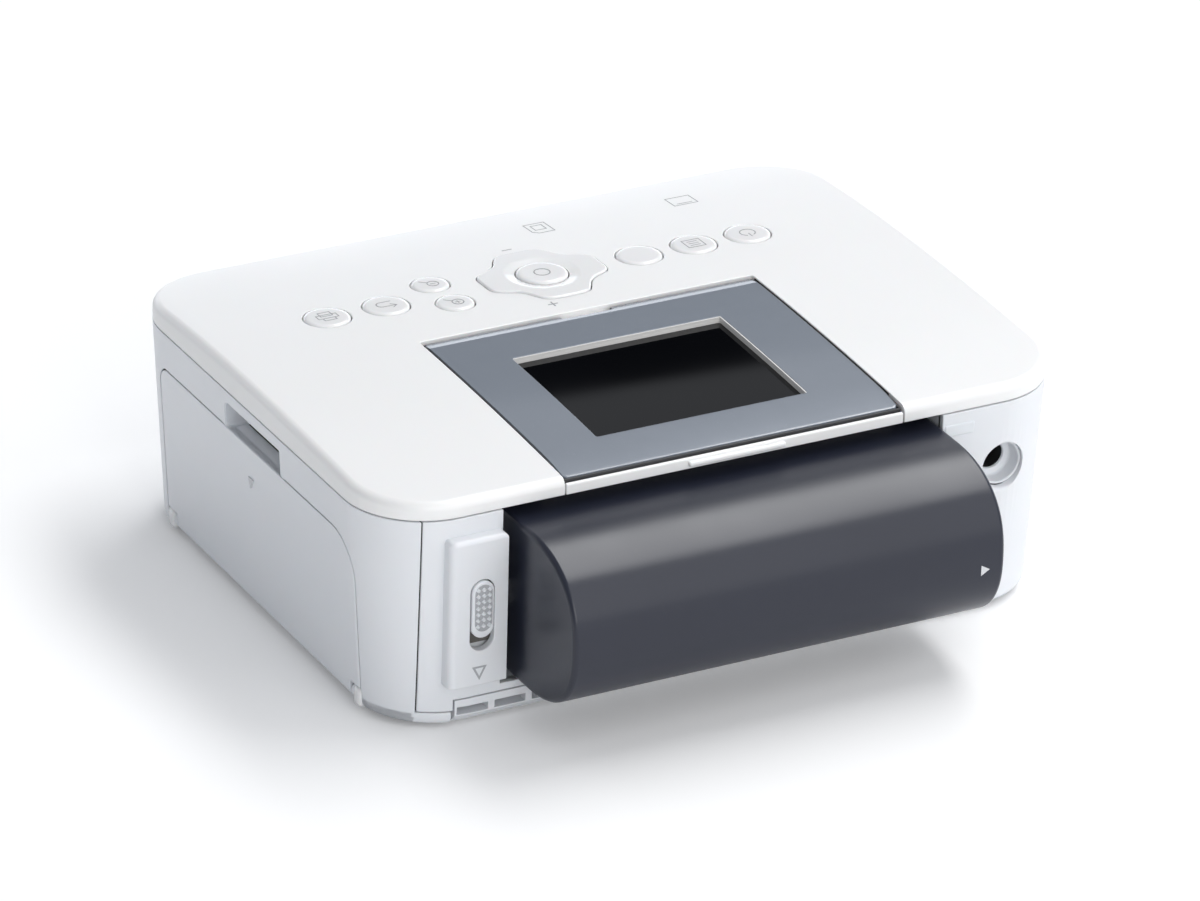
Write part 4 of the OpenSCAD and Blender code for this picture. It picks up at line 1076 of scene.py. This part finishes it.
@dataclass
class ScreenUnit:
    """Display unit that lifts at its rear edge."""

    bezel_half: float = 42.9
    tray_half: float = 43.2
    # Ends of the space round the hinge knuckle, along the width
    knuckle_room: Point2 = (-5.7, 7.5)

    def build(self) -> None:
        """Builds the bezel, the display and the housing with its rear strip."""
        self._bezel()
        self._display()
        self._housing()

    @staticmethod
    def drop(y: float) -> float:
        """How far the unit's surface lies below the highest line, with its falling front edge."""
        return unit_drop(y) + max(0.0, (-1.0 - y) * 0.16)

    def _knuckle_room(self, back: float) -> Form:
        """Space round the hinge knuckle, from the front to a place along the depth."""
        return Form.box((self.knuckle_room[0], -9.0, BELOW), (self.knuckle_room[1], back, ABOVE))

    def _bezel(self) -> None:
        """Builds the smoked bezel with its window and hinge notch."""
        top = SCREEN_TOP
        form = Form.box((-self.bezel_half, -4.3, top - 0.9), (self.bezel_half, 65.55, top))
        form.carve(Form.box((-26.3, 11.25, BELOW), (28.0, 52.75, ABOVE)).round(0.5, 3, upright),
                   self._knuckle_room(-2.9).round(0.6, 3, upright))

        def outer(edge: bmesh.types.BMEdge) -> bool:
            """Whether a sharp edge stands upright at one of the bezel's ends."""
            place = abs(edge.verts[0].co.x)
            return upright(edge) and sharp(edge) and abs(place - self.bezel_half) < 0.01

        form.round(1.2, 4, outer)
        form.round(0.14, 2, level(Axis.Z, top))
        form.slice(Axis.Y, (-1.0,))
        form.crowned(self.drop, 3.0).piece("screen_bezel", BEZEL, Body.SCREEN, ["screen_glass"])

    def _display(self) -> None:
        """Builds the display and the pale rim round it."""
        top = SCREEN_TOP
        Form.box((-28.0, 9.6, top - 3.0), (29.7, 54.4, top - 1.45)).crowned(self.drop, 3.0).piece(
            "display_panel", PANEL, Body.SCREEN, ["lcd_panel"])
        rim = Form.box((-26.28, 11.27, top - 1.5), (27.98, 52.73, top - 0.06))
        rim.carve(Form.box((-25.95, 11.6, BELOW), (27.65, 52.4, ABOVE)).round(0.5, 3, upright))
        rim.carve(Form.box((-25.9, 11.55, top - 0.86), (29.0, 54.0, ABOVE)))
        rim.crowned(self.drop, 3.0).piece("display_rim", RIM, Body.SCREEN)

    def _housing(self) -> None:
        """Builds the dark housing and the white strip along its rear edge."""
        half, front, under = self.tray_half, -4.2, 53.3
        form = Form.box((-half, front, under), (half, 66.5, CASE_H - 1.16))
        form.round(1.4, 3, lambda e: level(Axis.Z, under)(e) and level(Axis.Y, front)(e))
        form.carve(Form.box((-28.25, 9.3, 54.5), (29.95, 54.7, ABOVE)), self._knuckle_room(-0.9))
        edge = Form.box((-half, -4.6, CASE_H - 1.5), (half, 66.1, CASE_H - 0.3))
        edge.carve(Form.box((-42.95, -4.35, BELOW), (42.95, 65.75, ABOVE)), self._knuckle_room(-2.9))
        form.add(edge).crowned(self.drop).piece("screen_tray", DARK, Body.SCREEN, ["screen_housing"])
        section = [(66.2, 53.3), (67.5, 53.3), (67.5, 55.6), (67.3, 55.85), (66.9, 55.98), (66.7, 55.9),
                   (66.2, 55.2)]
        strip = Form.prism(section, Axis.X, -half, half).round(0.2, 2)
        nub = Form.box((-12.4, 67.0, 54.0), (12.4, 68.4, 55.3)).round(0.5, 4)
        strip.add(nub).piece("screen_strip", SHELL, Body.SCREEN)


@dataclass
class LowerCase:
    """Covers round the lower case."""

    port_z: float = 20.0

    def build(self) -> None:
        """Builds the four covers from one ring of walls, and the pan under them."""
        walls = case_walls()
        self._right(walls.copy())
        self._left(walls.copy())
        self._front(walls.copy())
        self._rear(walls.copy())
        self._base()

    @staticmethod
    def _region(points: Sequence[Point2], low: float = -5.0, high: float = SEAM_Z + 3) -> Form:
        """Upright prism that picks a stretch of the walls."""
        return Form.prism(points, Axis.Z, low, high)

    def _right(self, form: Form) -> None:
        """Builds the cover on the right, with the finger notch over the ink door.

        Args:
            form: Copy of the ring of walls.
        """
        heel = Form.box((70.9, 50, 0), (FAR, FAR, 4.5))
        main = self._region([(70.5, -FAR), (FAR, -FAR), (FAR, FAR), (78.3, FAR), (78.3, 50), (60, 50),
                             (60, 0), (70.5, 0)])
        low = form.copy().keep(heel)
        form.keep(main).carve(InkDoor.outline(0.4))
        backing = case_solid(0.3).keep(Form.box((80.6, -16.2, 42.9), (90, 16.2, 51.4)))
        form.carve(self._notch(0.1))
        backing.carve(self._notch(0.0))
        # Dark pieces at the back and floor of the finger notch: painted shade deep in the notch
        hollow = Form.box((81.9, -12.2, 42.9), (82.15, 14.3, 46.9)).round(0.1, 1)
        hollow.add(Form.box((82.0, -14.3, 42.3), (82.8, 14.3, 42.9)))
        hollow.piece("notch_back", HOLLOW_SHADE, Body.CASE)
        form.round(EDGE, 2)
        backing.round(0.2, 2)
        low.round(EDGE, 2)
        form.add(backing, low, *self._knuckles())
        form.piece("cover_right", SHADED_SIDE, Body.CASE, ["right_cover"])
        for name, y in (("front", -50.4), ("rear", 48.2)):
            tab = Form.box((83.4, y, 1.5), (86.35, y + 3.6, 6.4)).round(1.2, 4)
            tab.piece(f"hinge_tab_{name}", KEY, Body.CASE)

    @staticmethod
    def _notch(grow: float) -> Form:
        """Space of the finger notch, with a scooped end.

        Args:
            grow: Distance outside the notch's own faces.

        Returns:
            The form.
        """
        end, low, high, deep = 14.5 + grow, 42.4 - grow, 50 + grow, 82 - grow
        section = [(91, low), (deep, low), (deep, 46.6), (85 - grow, high), (91, high)]
        form = Form.prism(section, Axis.Y, -end, end)
        form.round(2.2, 6, level(Axis.Y, -end))
        return form.round(0.5, 3, level(Axis.Y, end))

    @staticmethod
    def _knuckles() -> list[Form]:
        """Two hinge knuckles of the ink door that stand on the cover."""
        return [barrel(a, b, InkDoor.hinge, Axis.Y) for a, b in ((-50.1, -45.7), (46.7, 51.1))]

    def _left(self, form: Form) -> None:
        """Builds the cover on the left, with cooling slots and two sockets.

        Args:
            form: Copy of the ring of walls.
        """
        region = [(-FAR, 37.7), (-60, 37.7), (-60, 0), (-70.5, 0), (-70.5, -FAR), (-FAR, -FAR)]
        form.keep(self._region(region))
        across, z = running(Axis.X), self.port_z
        ports = [Form.box((-99, y - w / 2, z - h / 2), (-79, y + w / 2, z + h / 2)).round(0.5, 3, across)
                 for y, w, h in ((-14, 13.8, 6.0), (6, 8.6, 4.8))]
        slots = [Form.box((-99, -36 + i * 5, 34), (-81, -33.6 + i * 5, 44)).round(1.15, 4, across)
                 for i in range(8)]
        form.carve(*ports, *slots).round(EDGE, 2)
        form.piece("cover_left", SHADED_SIDE, Body.CASE, ["left_cover"])
        for name, y, width, height in (("wide", -14.0, 13.0, 5.3), ("mini", 6.0, 7.9, 4.1)):
            self._port(name, y, width / 2, height / 2)

    def _port(self, name: str, y: float, half_y: float, half_z: float) -> None:
        """Builds the metal shell and the tongue of a socket in the left cover.

        Args:
            name: Name of the socket.
            y: Place along the depth.
            half_y: Half of its width.
            half_z: Half of its height.
        """
        front, back, z, wall = -87.0, -85.4, self.port_z, 0.35
        shell = Form.box((front, y - half_y, z - half_z), (back, y + half_y, z + half_z))
        shell.round(0.5, 3, running(Axis.X))
        bore = Form.box((front - 1, y - half_y + wall, z - half_z + wall),
                        (back - 0.2, y + half_y - wall, z + half_z - wall))
        shell.carve(bore).round(0.06, 1).piece(f"port_shell_{name}", STEEL, Body.CASE)
        tongue = Form.box((front + 0.5, y - half_y + 1.2, z - 0.2), (back - 0.1, y + half_y - 1.2, z + 1.0))
        tongue.round(0.15, 2).piece(f"port_tongue_{name}", BLACK_AND_GAP_SHADE, Body.CASE)

    def _front(self, form: Form) -> None:
        """Builds the front cover, with the door opening and the card slots.

        Args:
            form: Copy of the ring of walls.
        """
        form.keep(self._region([(-70.2, -FAR), (-70.2, -40), (70.2, -40), (70.2, -FAR)]))
        door = Form.box((-58.4, -FAR, -3), (62.4, 0, 40.0))
        slots = [Form.box((x - w / 2, -FAR, a), (x + w / 2, -50, b)).round(0.6, 3, running(Axis.Y))
                 for x, w, a, b in ((-47.5, 43.6, 44.0, 47.6), (-10.8, 24.8, 44.4, 47.0))]
        form.carve(door, *slots).round(EDGE, 2)
        form.add(*[barrel(a, b, PAPER_HINGE, Axis.X) for a, b in ((-62.4, -58.4), (62.4, 66.4))])
        form.piece("cover_front", SHADED_SIDE, Body.CASE, ["front_cover"])

    def _rear(self, form: Form) -> None:
        """Builds the rear cover with the bay, the latch block and the ledge, and a dark sheet in the seam
        beside it as painted shade of the gap.

        Args:
            form: Copy of the ring of walls.
        """
        form.keep(self._region([(78.0, FAR), (78.0, 50), (0, 40), (-60, 38), (-FAR, 38), (-FAR, FAR)]))
        form.carve(Form.box((-53.8, 40, 9.4), (58.9, FAR, FAR)), Form.box((-56.8, 40, -5), (70.5, FAR, 7.6)))
        form.carve(Form.box((70, 50, -5), (FAR, FAR, 4.8)))
        form.round(EDGE, 2)
        inlet = PowerInlet.centre
        form.slice(Axis.X, inlet[:1]).slice(Axis.Z, inlet[1:])
        flare = [(0, 50), (5.6, 50), (5.6, 66.5), (5.75, 66.9), (6.2, 67.25), (7.0, 67.6), (7.0, 70), (0, 70)]
        form.carve(Form.lathe(flare, inlet, Axis.Y, 96))
        bay = Form.box((-55.8, 57.7, 7.6), (60.9, 66.5, 52.7))
        bay.carve(Form.box((-53.8, 60.0, 9.4), (58.9, FAR, FAR)), Form.box((-60, 50, 50), (62, 60.1, 60)))
        ledge = Form.box((-62.4, 66.0, 46.9), (-54.1, 67.7, 50.4)).round(0.7, 4)
        form.add(bay.round(0.3, 2), self._latch_block(), ledge)
        form.piece("cover_rear", SHADED_SIDE, Body.CASE, ["rear_cover"])
        # Dark sheet behind the seam by the right cover: painted shade of the gap
        seam = case_solid(0.3).keep(Form.box((78.02, 40, 4.9), (78.28, FAR, SEAM_Z - 0.2)))
        seam.carve(case_solid(1.5)).piece("cover_seam_painted_shade", BLACK_AND_GAP_SHADE, Body.CASE)

    def _latch_block(self) -> Form:
        """Raised block with the slot of the release slider.

        Returns:
            The block, ready to join to the rear cover.
        """
        form = Form.box((58.9, 64.3, 12.0), (73.3, 70.6, 48.6))
        form.round(1.7, 5, lambda e: level(Axis.Y, 70.6)(e) and level(Axis.X, 73.3)(e))
        form.round(1.2, 4, level(Axis.Z, 48.6))
        slot = Form.obround(6.0, 17.7, (65.3, 29.5), 68.4, 80)
        form.carve(slot, Form.box((60.9, 60, 14.0), (71.3, 68.5, 46.6)))
        return form.round(0.3, 3)

    def _base(self) -> None:
        """Dresses the pan under the case."""
        Form.node("base_pan").round(0.2, 2, clamp=True).piece("base_shell", SHADED_SIDE, Body.CASE, ["base_pan"])


@dataclass
class InkDoor:
    """Door on the right side, hinged at its lower edge."""

    hinge: Point2 = (83.996, 3.9)

    @staticmethod
    def outline(grow: float) -> Form:
        """Outline of the door, drawn through the wall.

        Args:
            grow: Distance outside the door's own edge.

        Returns:
            The form.
        """
        points = [(-50.1 - grow, -3.0), (51.1 + grow, -3.0), *arc((41.1, 33.4), 10 + grow, 0, 90, 12),
                  *arc((-46.1, 39.4), 4 + grow, 90, 180, 8)]
        return Form.prism(points, Axis.X, 60, FAR)

    def build(self) -> None:
        """Builds the door with its barrel and finger lip, and a dark ring in the seam round it as painted
        shade of the gap.
        """
        form = case_walls().keep(self.outline(0.0))
        feet = [Form.box((60, a, -5), (FAR, b, 6.4)) for a, b in ((-60, -45.3), (46.3, 60))]
        form.carve(*feet, Form.box((60, -60, -5), (FAR, 60, 3.9)))
        form.round(0.25, 3)
        lip = case_solid(0.2).keep(Form.box((83, -13.5, 42.0), (90, 13.5, 43.4))).round(0.3, 2)
        form.add(lip, barrel(-45.3, 46.3, self.hinge, Axis.Y))
        form.piece("door_ink", SHADED_SIDE, Body.INK_DOOR, ["ink_door"])
        # Dark ring behind the gap round the door: painted shade of the gap
        ring = case_solid(0.45).keep(self.outline(0.36)).carve(self.outline(0.06), case_solid(1.5))
        ring.carve(Form.box((60, -60, -5), (FAR, 60, 6.6)), Form.box((60, -14.6, 40), (FAR, 14.6, 50)))
        ring.piece("door_seam_painted_shade", BLACK_AND_GAP_SHADE, Body.CASE)


@dataclass
class PaperDoor:
    """Door at the front, hinged at its lower edge."""

    top: float = 39.6

    def build(self) -> None:
        """Builds the door with its barrel, rim and thumb scoop."""
        thick = running(Axis.Y)
        form = Form.box((-58, -67.5, 3.9), (62, -65.3, self.top))
        form.round(1.0, 3, lambda e: level(Axis.Z, self.top)(e) and thick(e))
        form.carve(Form.rod(9.0, -69.5, -66.4, (2, 44.6), Axis.Y, 72)).round(0.25, 2)
        rim = Form.box((-55, -65.8, 36.6), (59, -63.7, 38.0)).round(0.3, 2)
        form.add(barrel(-58, 62, PAPER_HINGE, Axis.X), rim)
        form.piece("door_paper", SHADED_SIDE, Body.PAPER_DOOR, ["paper_door"])


@dataclass
class BatteryPack:
    """Pack that is clipped into the bay at the rear."""

    ends: Point2 = (-53.5, 56.5)
    heights: Point2 = (11.1, 50.3)
    back: float = 60.3
    bulge_start: float = 74.0
    bulge_depth: float = 24.0
    # Exponent of the bulge's outline; 1 would be an ellipse
    squareness: float = 2 / 2.4
    steps: int = 56

    def build(self) -> None:
        """Builds the pack from its rounded profile."""
        middle, half = sum(self.heights) / 2, (self.heights[1] - self.heights[0]) / 2
        outline: list[Point2] = [(self.back, self.heights[0])]
        for i in range(self.steps + 1):
            turn = math.radians(-90 + 180 * i / self.steps)
            c, s = math.cos(turn), math.sin(turn)
            outline.append((self.bulge_start + self.bulge_depth * abs(c) ** self.squareness,
                            middle + half * math.copysign(abs(s) ** self.squareness, s)))
        outline.append((self.back, self.heights[1]))
        form = Form.prism(outline, Axis.X, *self.ends)
        form.round(1.2, 5, lambda e: level(Axis.X, self.ends[0])(e) or level(Axis.X, self.ends[1])(e))
        form.carve(Form.box((54.5, 61.9, 24.5), (60, 65.6, 34.5)))
        form.piece("pack_body", BATTERY, Body.CASE, ["battery_pack"])


@dataclass
class ReleaseSlider:
    """Slider that frees the battery pack."""

    centre: Point2 = (65.3, 31.0)

    def build(self) -> None:
        """Builds the slider with its knurl, the ground of the knurl painted darker as the shade between its
        bumps, and the plate behind it painted dark as the shade in the slot.
        """
        x, z = self.centre
        face = 71.1
        form = Form.obround(5.5, 14.1, self.centre, 68.5, face).round(0.5, 3, level(Axis.Y, face))
        knurl = [Form.rod(0.72, 71.0, 71.75, (x + c * 1.4, z + 0.6 + r * 1.5), Axis.Y, 4, 0.2)
                 for r in range(-3, 4) for c in (-1, 0, 1)]
        form.add(*knurl).piece("slider_release", SHADED_SIDE, Body.RELEASE, ["battery_release"])
        # Ground of the knurl: painted shade between the bumps
        ground = Form.obround(4.3, 11.6, (x, z + 0.5), 71.0, 71.16)
        ground.piece("slider_ground", GROOVE_SHADE, Body.RELEASE)
        # Plate behind the slider: painted shade in the slot
        plate = Form.box((61.3, 66.9, 21.6), (70.9, 68.3, 40.4)).round(0.3, 2)
        plate.piece("slider_plate", HOLLOW_SHADE, Body.RELEASE)


@dataclass
class PowerInlet:
    """Round socket for the adapter's plug, at the bottom of a stepped recess."""

    centre: Point2 = (-71.0, 36.5)

    def build(self) -> None:
        """Builds the lining, the jack behind it and its pin."""
        profile = [(3.3, 60.2), (3.3, 60.8), (3.5, 61.0), (4.3, 61.1), (4.7, 61.3), (4.9, 61.9), (4.95, 64.6),
                   (5.1, 64.9), (5.4, 65.0), (5.58, 64.8), (5.58, 60.2), (3.3, 60.2)]
        Form.lathe(profile, self.centre, Axis.Y, 96).piece("inlet_lining", SHADED_SIDE, Body.CASE)
        x, z = self.centre
        body = Form.box((x - 5, 51.5, z - 5), (x + 5, 60.1, z + 5)).round(0.6, 3)
        body.carve(Form.rod(3.2, 52.5, 70, self.centre, Axis.Y, 64))
        body.piece("inlet_jack", BLACK_AND_GAP_SHADE, Body.CASE, ["dc_jack"])
        pin = Form.rod(0.85, 52.0, 58.6, self.centre, Axis.Y, 32).round(0.3, 3)
        pin.piece("inlet_pin", STEEL, Body.CASE)


class Pointers:
    """Small arrows moulded or printed on the outside."""

    def build(self) -> None:
        """Builds the arrow on the pack, the one by the slider and the one on the ink door."""
        pack = Form.prism([(-47.3, 27.5), (-47.3, 30.1), (-49.5, 28.8)], Axis.Y, 97.4, 98.0)
        pack.piece("arrow_pack", ARROW, Body.CASE)
        # The arrow by the slider is moulded in; its groove is painted mid grey as shade
        outer = Form.prism([(64.0, 16.8), (67.7, 16.8), (65.85, 13.3)], Axis.Y, 70.4, 70.68)
        inner = Form.prism([(64.8, 16.35), (66.9, 16.35), (65.85, 14.3)], Axis.Y, 70.0, 71.0)
        outer.carve(inner).round(0.04, 1).piece("arrow_slider", GROOVE_SHADE, Body.CASE)
        x = HALF_W - lean(37.0)
        door = Form.prism([(-2.5, 35.9), (-0.1, 35.9), (-1.3, 33.4)], Axis.X, x - 0.5, x + 0.3)
        door.piece("arrow_ink_door", ARROW, Body.INK_DOOR)


class Insides:
    """Nodes of the construction model."""

    def dress(self) -> None:
        """Gives every node the finish of its material slot."""
        finishes = {finish.slot: finish for finish in FINISHES}
        for part in frame["record"]["subparts"]:
            name, slot = part["node"], part["material_slot"]
            node = frame["nodes"][name]
            node.data.materials.clear()
            node.data.materials.append(finishes[slot].material())
            log.info("%s: finish %s", name, slot)


# ---- stage ----

FLOOR_HALF = 6.0
FLOOR_GLOW = 0.1
LAMP_AIM = Vector((0, 0, 0.03))
ROOM_COLOUR = (0.34, 0.35, 0.37)
FAR_SIDE = (-0.477, -0.879, 0.0)
# Where each band of the room starts and ends, as the height of a direction, and its colour
BANDS = (((0.27, 0.31), (0.483, 0.493), (0.012, 0.013, 0.015)),
         ((-0.08, -0.02), (0.25, 0.29), (1.9, 2.0, 2.15)))


class Stage:
    """Floor, light and camera."""

    def build(self) -> None:
        """Sets the scene up."""
        self._floor()
        self._lights()
        self._world()
        self._camera()

    @staticmethod
    def _floor() -> None:
        """Lays a wide white floor that glows a little where the camera sees it."""
        data = bpy.data.meshes.new("floor")
        mesh = bmesh.new()
        bmesh.ops.create_grid(mesh, x_segments=1, y_segments=1, size=FLOOR_HALF)
        mesh.to_mesh(data)
        mesh.free()
        made = bpy.data.materials.new("floor_white")
        made.use_nodes = True
        graph = Graph(made.node_tree)
        shader = made.node_tree.nodes["Principled BSDF"]
        shader.inputs["Roughness"].default_value = 0.9
        shader.inputs["Specular IOR Level"].default_value = 0.1
        shader.inputs["Emission Color"].default_value = (1.0, 1.0, 1.0, 1.0)
        mask = graph.noise(graph.add("ShaderNodeTexCoord").outputs["Object"], 3.0)
        graph.link(graph.mixed(mask, (0.93, 0.93, 0.93), (0.94, 0.94, 0.94)), shader.inputs["Base Color"])
        seen = graph.add("ShaderNodeLightPath").outputs["Is Camera Ray"]
        graph.link(graph.combined("MULTIPLY", seen, FLOOR_GLOW), shader.inputs["Emission Strength"])
        data.materials.append(made)
        put_down("floor", data)

    @staticmethod
    def _lamp(name: str, place: Point3, size: Point2, power: float, along: Point3 = (1, 0, 0)) -> None:
        """Adds a soft lamp that faces the printer.

        Args:
            name: Name of the lamp.
            place: Where it hangs, in metres.
            size: Its two sides, in metres.
            power: Its power in watts.
            along: Direction that its first side runs in, as near as it can.
        """
        data = bpy.data.lights.new(name, "AREA")
        data.shape, data.size, data.size_y = "RECTANGLE", *size
        data.energy = power
        back = (Vector(place) - LAMP_AIM).normalized()
        right = (Vector(along) - Vector(along).dot(back) * back).normalized()
        turn = Matrix((right, back.cross(right), back)).transposed()
        put_down(name, data).matrix_world = Matrix.Translation(place) @ turn.to_4x4()

    def _lights(self) -> None:
        """Hangs the lamps."""
        self._lamp("lamp_top", (-0.71, -0.22, 1.36), (1.5, 0.5), 15.0, (-0.23, -0.97, 0.0))
        self._lamp("lamp_rear", (-0.35, 1.2, 0.8), (1.6, 1.6), 10.5)
        self._lamp("lamp_fill", (0.45, 1.5, 0.55), (0.8, 0.8), 4.4)

    @staticmethod
    def _world() -> None:
        """Sets a dim studio with a dark band over a bright screen on the far side, white for the camera."""
        world = bpy.data.worlds.new("studio")
        bpy.context.scene.world = world
        world.use_nodes = True
        graph = Graph(world.node_tree)
        way = graph.add("ShaderNodeTexCoord").outputs["Generated"]
        parts = graph.add("ShaderNodeSeparateXYZ")
        graph.link(way, parts.inputs[0])
        far = graph.add("ShaderNodeVectorMath", operation="DOT_PRODUCT")
        far.inputs[1].default_value = FAR_SIDE
        graph.link(way, far.inputs[0])
        side = graph.ranged(far.outputs["Value"], (0.2, 0.5))
        colour: Socket | Colour = ROOM_COLOUR
        for start, end, shade in BANDS:
            rise = graph.ranged(parts.outputs["Z"], start)
            fall = graph.ranged(parts.outputs["Z"], end, (1.0, 0.0))
            share = graph.combined("MULTIPLY", graph.combined("MULTIPLY", rise, fall), side)
            colour = graph.mixed(share, colour, shade)
        room = world.node_tree.nodes["Background"]
        graph.link(colour, room.inputs["Color"])
        white = graph.add("ShaderNodeBackground", Color=(1, 1, 1, 1))
        choice = graph.add("ShaderNodeMixShader")
        graph.link(graph.add("ShaderNodeLightPath").outputs["Is Camera Ray"], choice.inputs[0])
        graph.link(room.outputs[0], choice.inputs[1])
        graph.link(white.outputs[0], choice.inputs[2])
        graph.link(choice.outputs[0], world.node_tree.nodes["World Output"].inputs["Surface"])
        bpy.context.scene.view_settings.view_transform = "Standard"

    @staticmethod
    def _camera() -> None:
        """Puts the camera where the photograph was taken from."""
        data = bpy.data.cameras.new("camera")
        data.sensor_fit, data.sensor_width, data.lens = "HORIZONTAL", 36.0, 237.83
        data.clip_start, data.clip_end = 0.05, 30.0
        right = Vector((-0.8844, 0.4661, 0.0241)).normalized()
        back = Vector((0.4277, 0.7887, 0.4416)).normalized()
        up = back.cross(right).normalized()
        right = up.cross(back)
        turn = Matrix((right, up, back)).transposed()
        camera = put_down("camera", data)
        camera.matrix_world = Matrix.Translation((0.7902, 1.44485, 0.8424)) @ turn.to_4x4()
        bpy.context.scene.camera = camera


def main() -> None:
    """Builds the scene part by part."""
    logging.basicConfig(level=logging.INFO, format="%(message)s")
    for part in (Stage(), TopCover(), Keys(), Marks(), ScreenUnit(), LowerCase(), InkDoor(), PaperDoor(),
                 BatteryPack(), ReleaseSlider(), PowerInlet(), Pointers()):
        part.build()
    Insides().dress()
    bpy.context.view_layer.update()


if __name__ == "__main__":
    main()
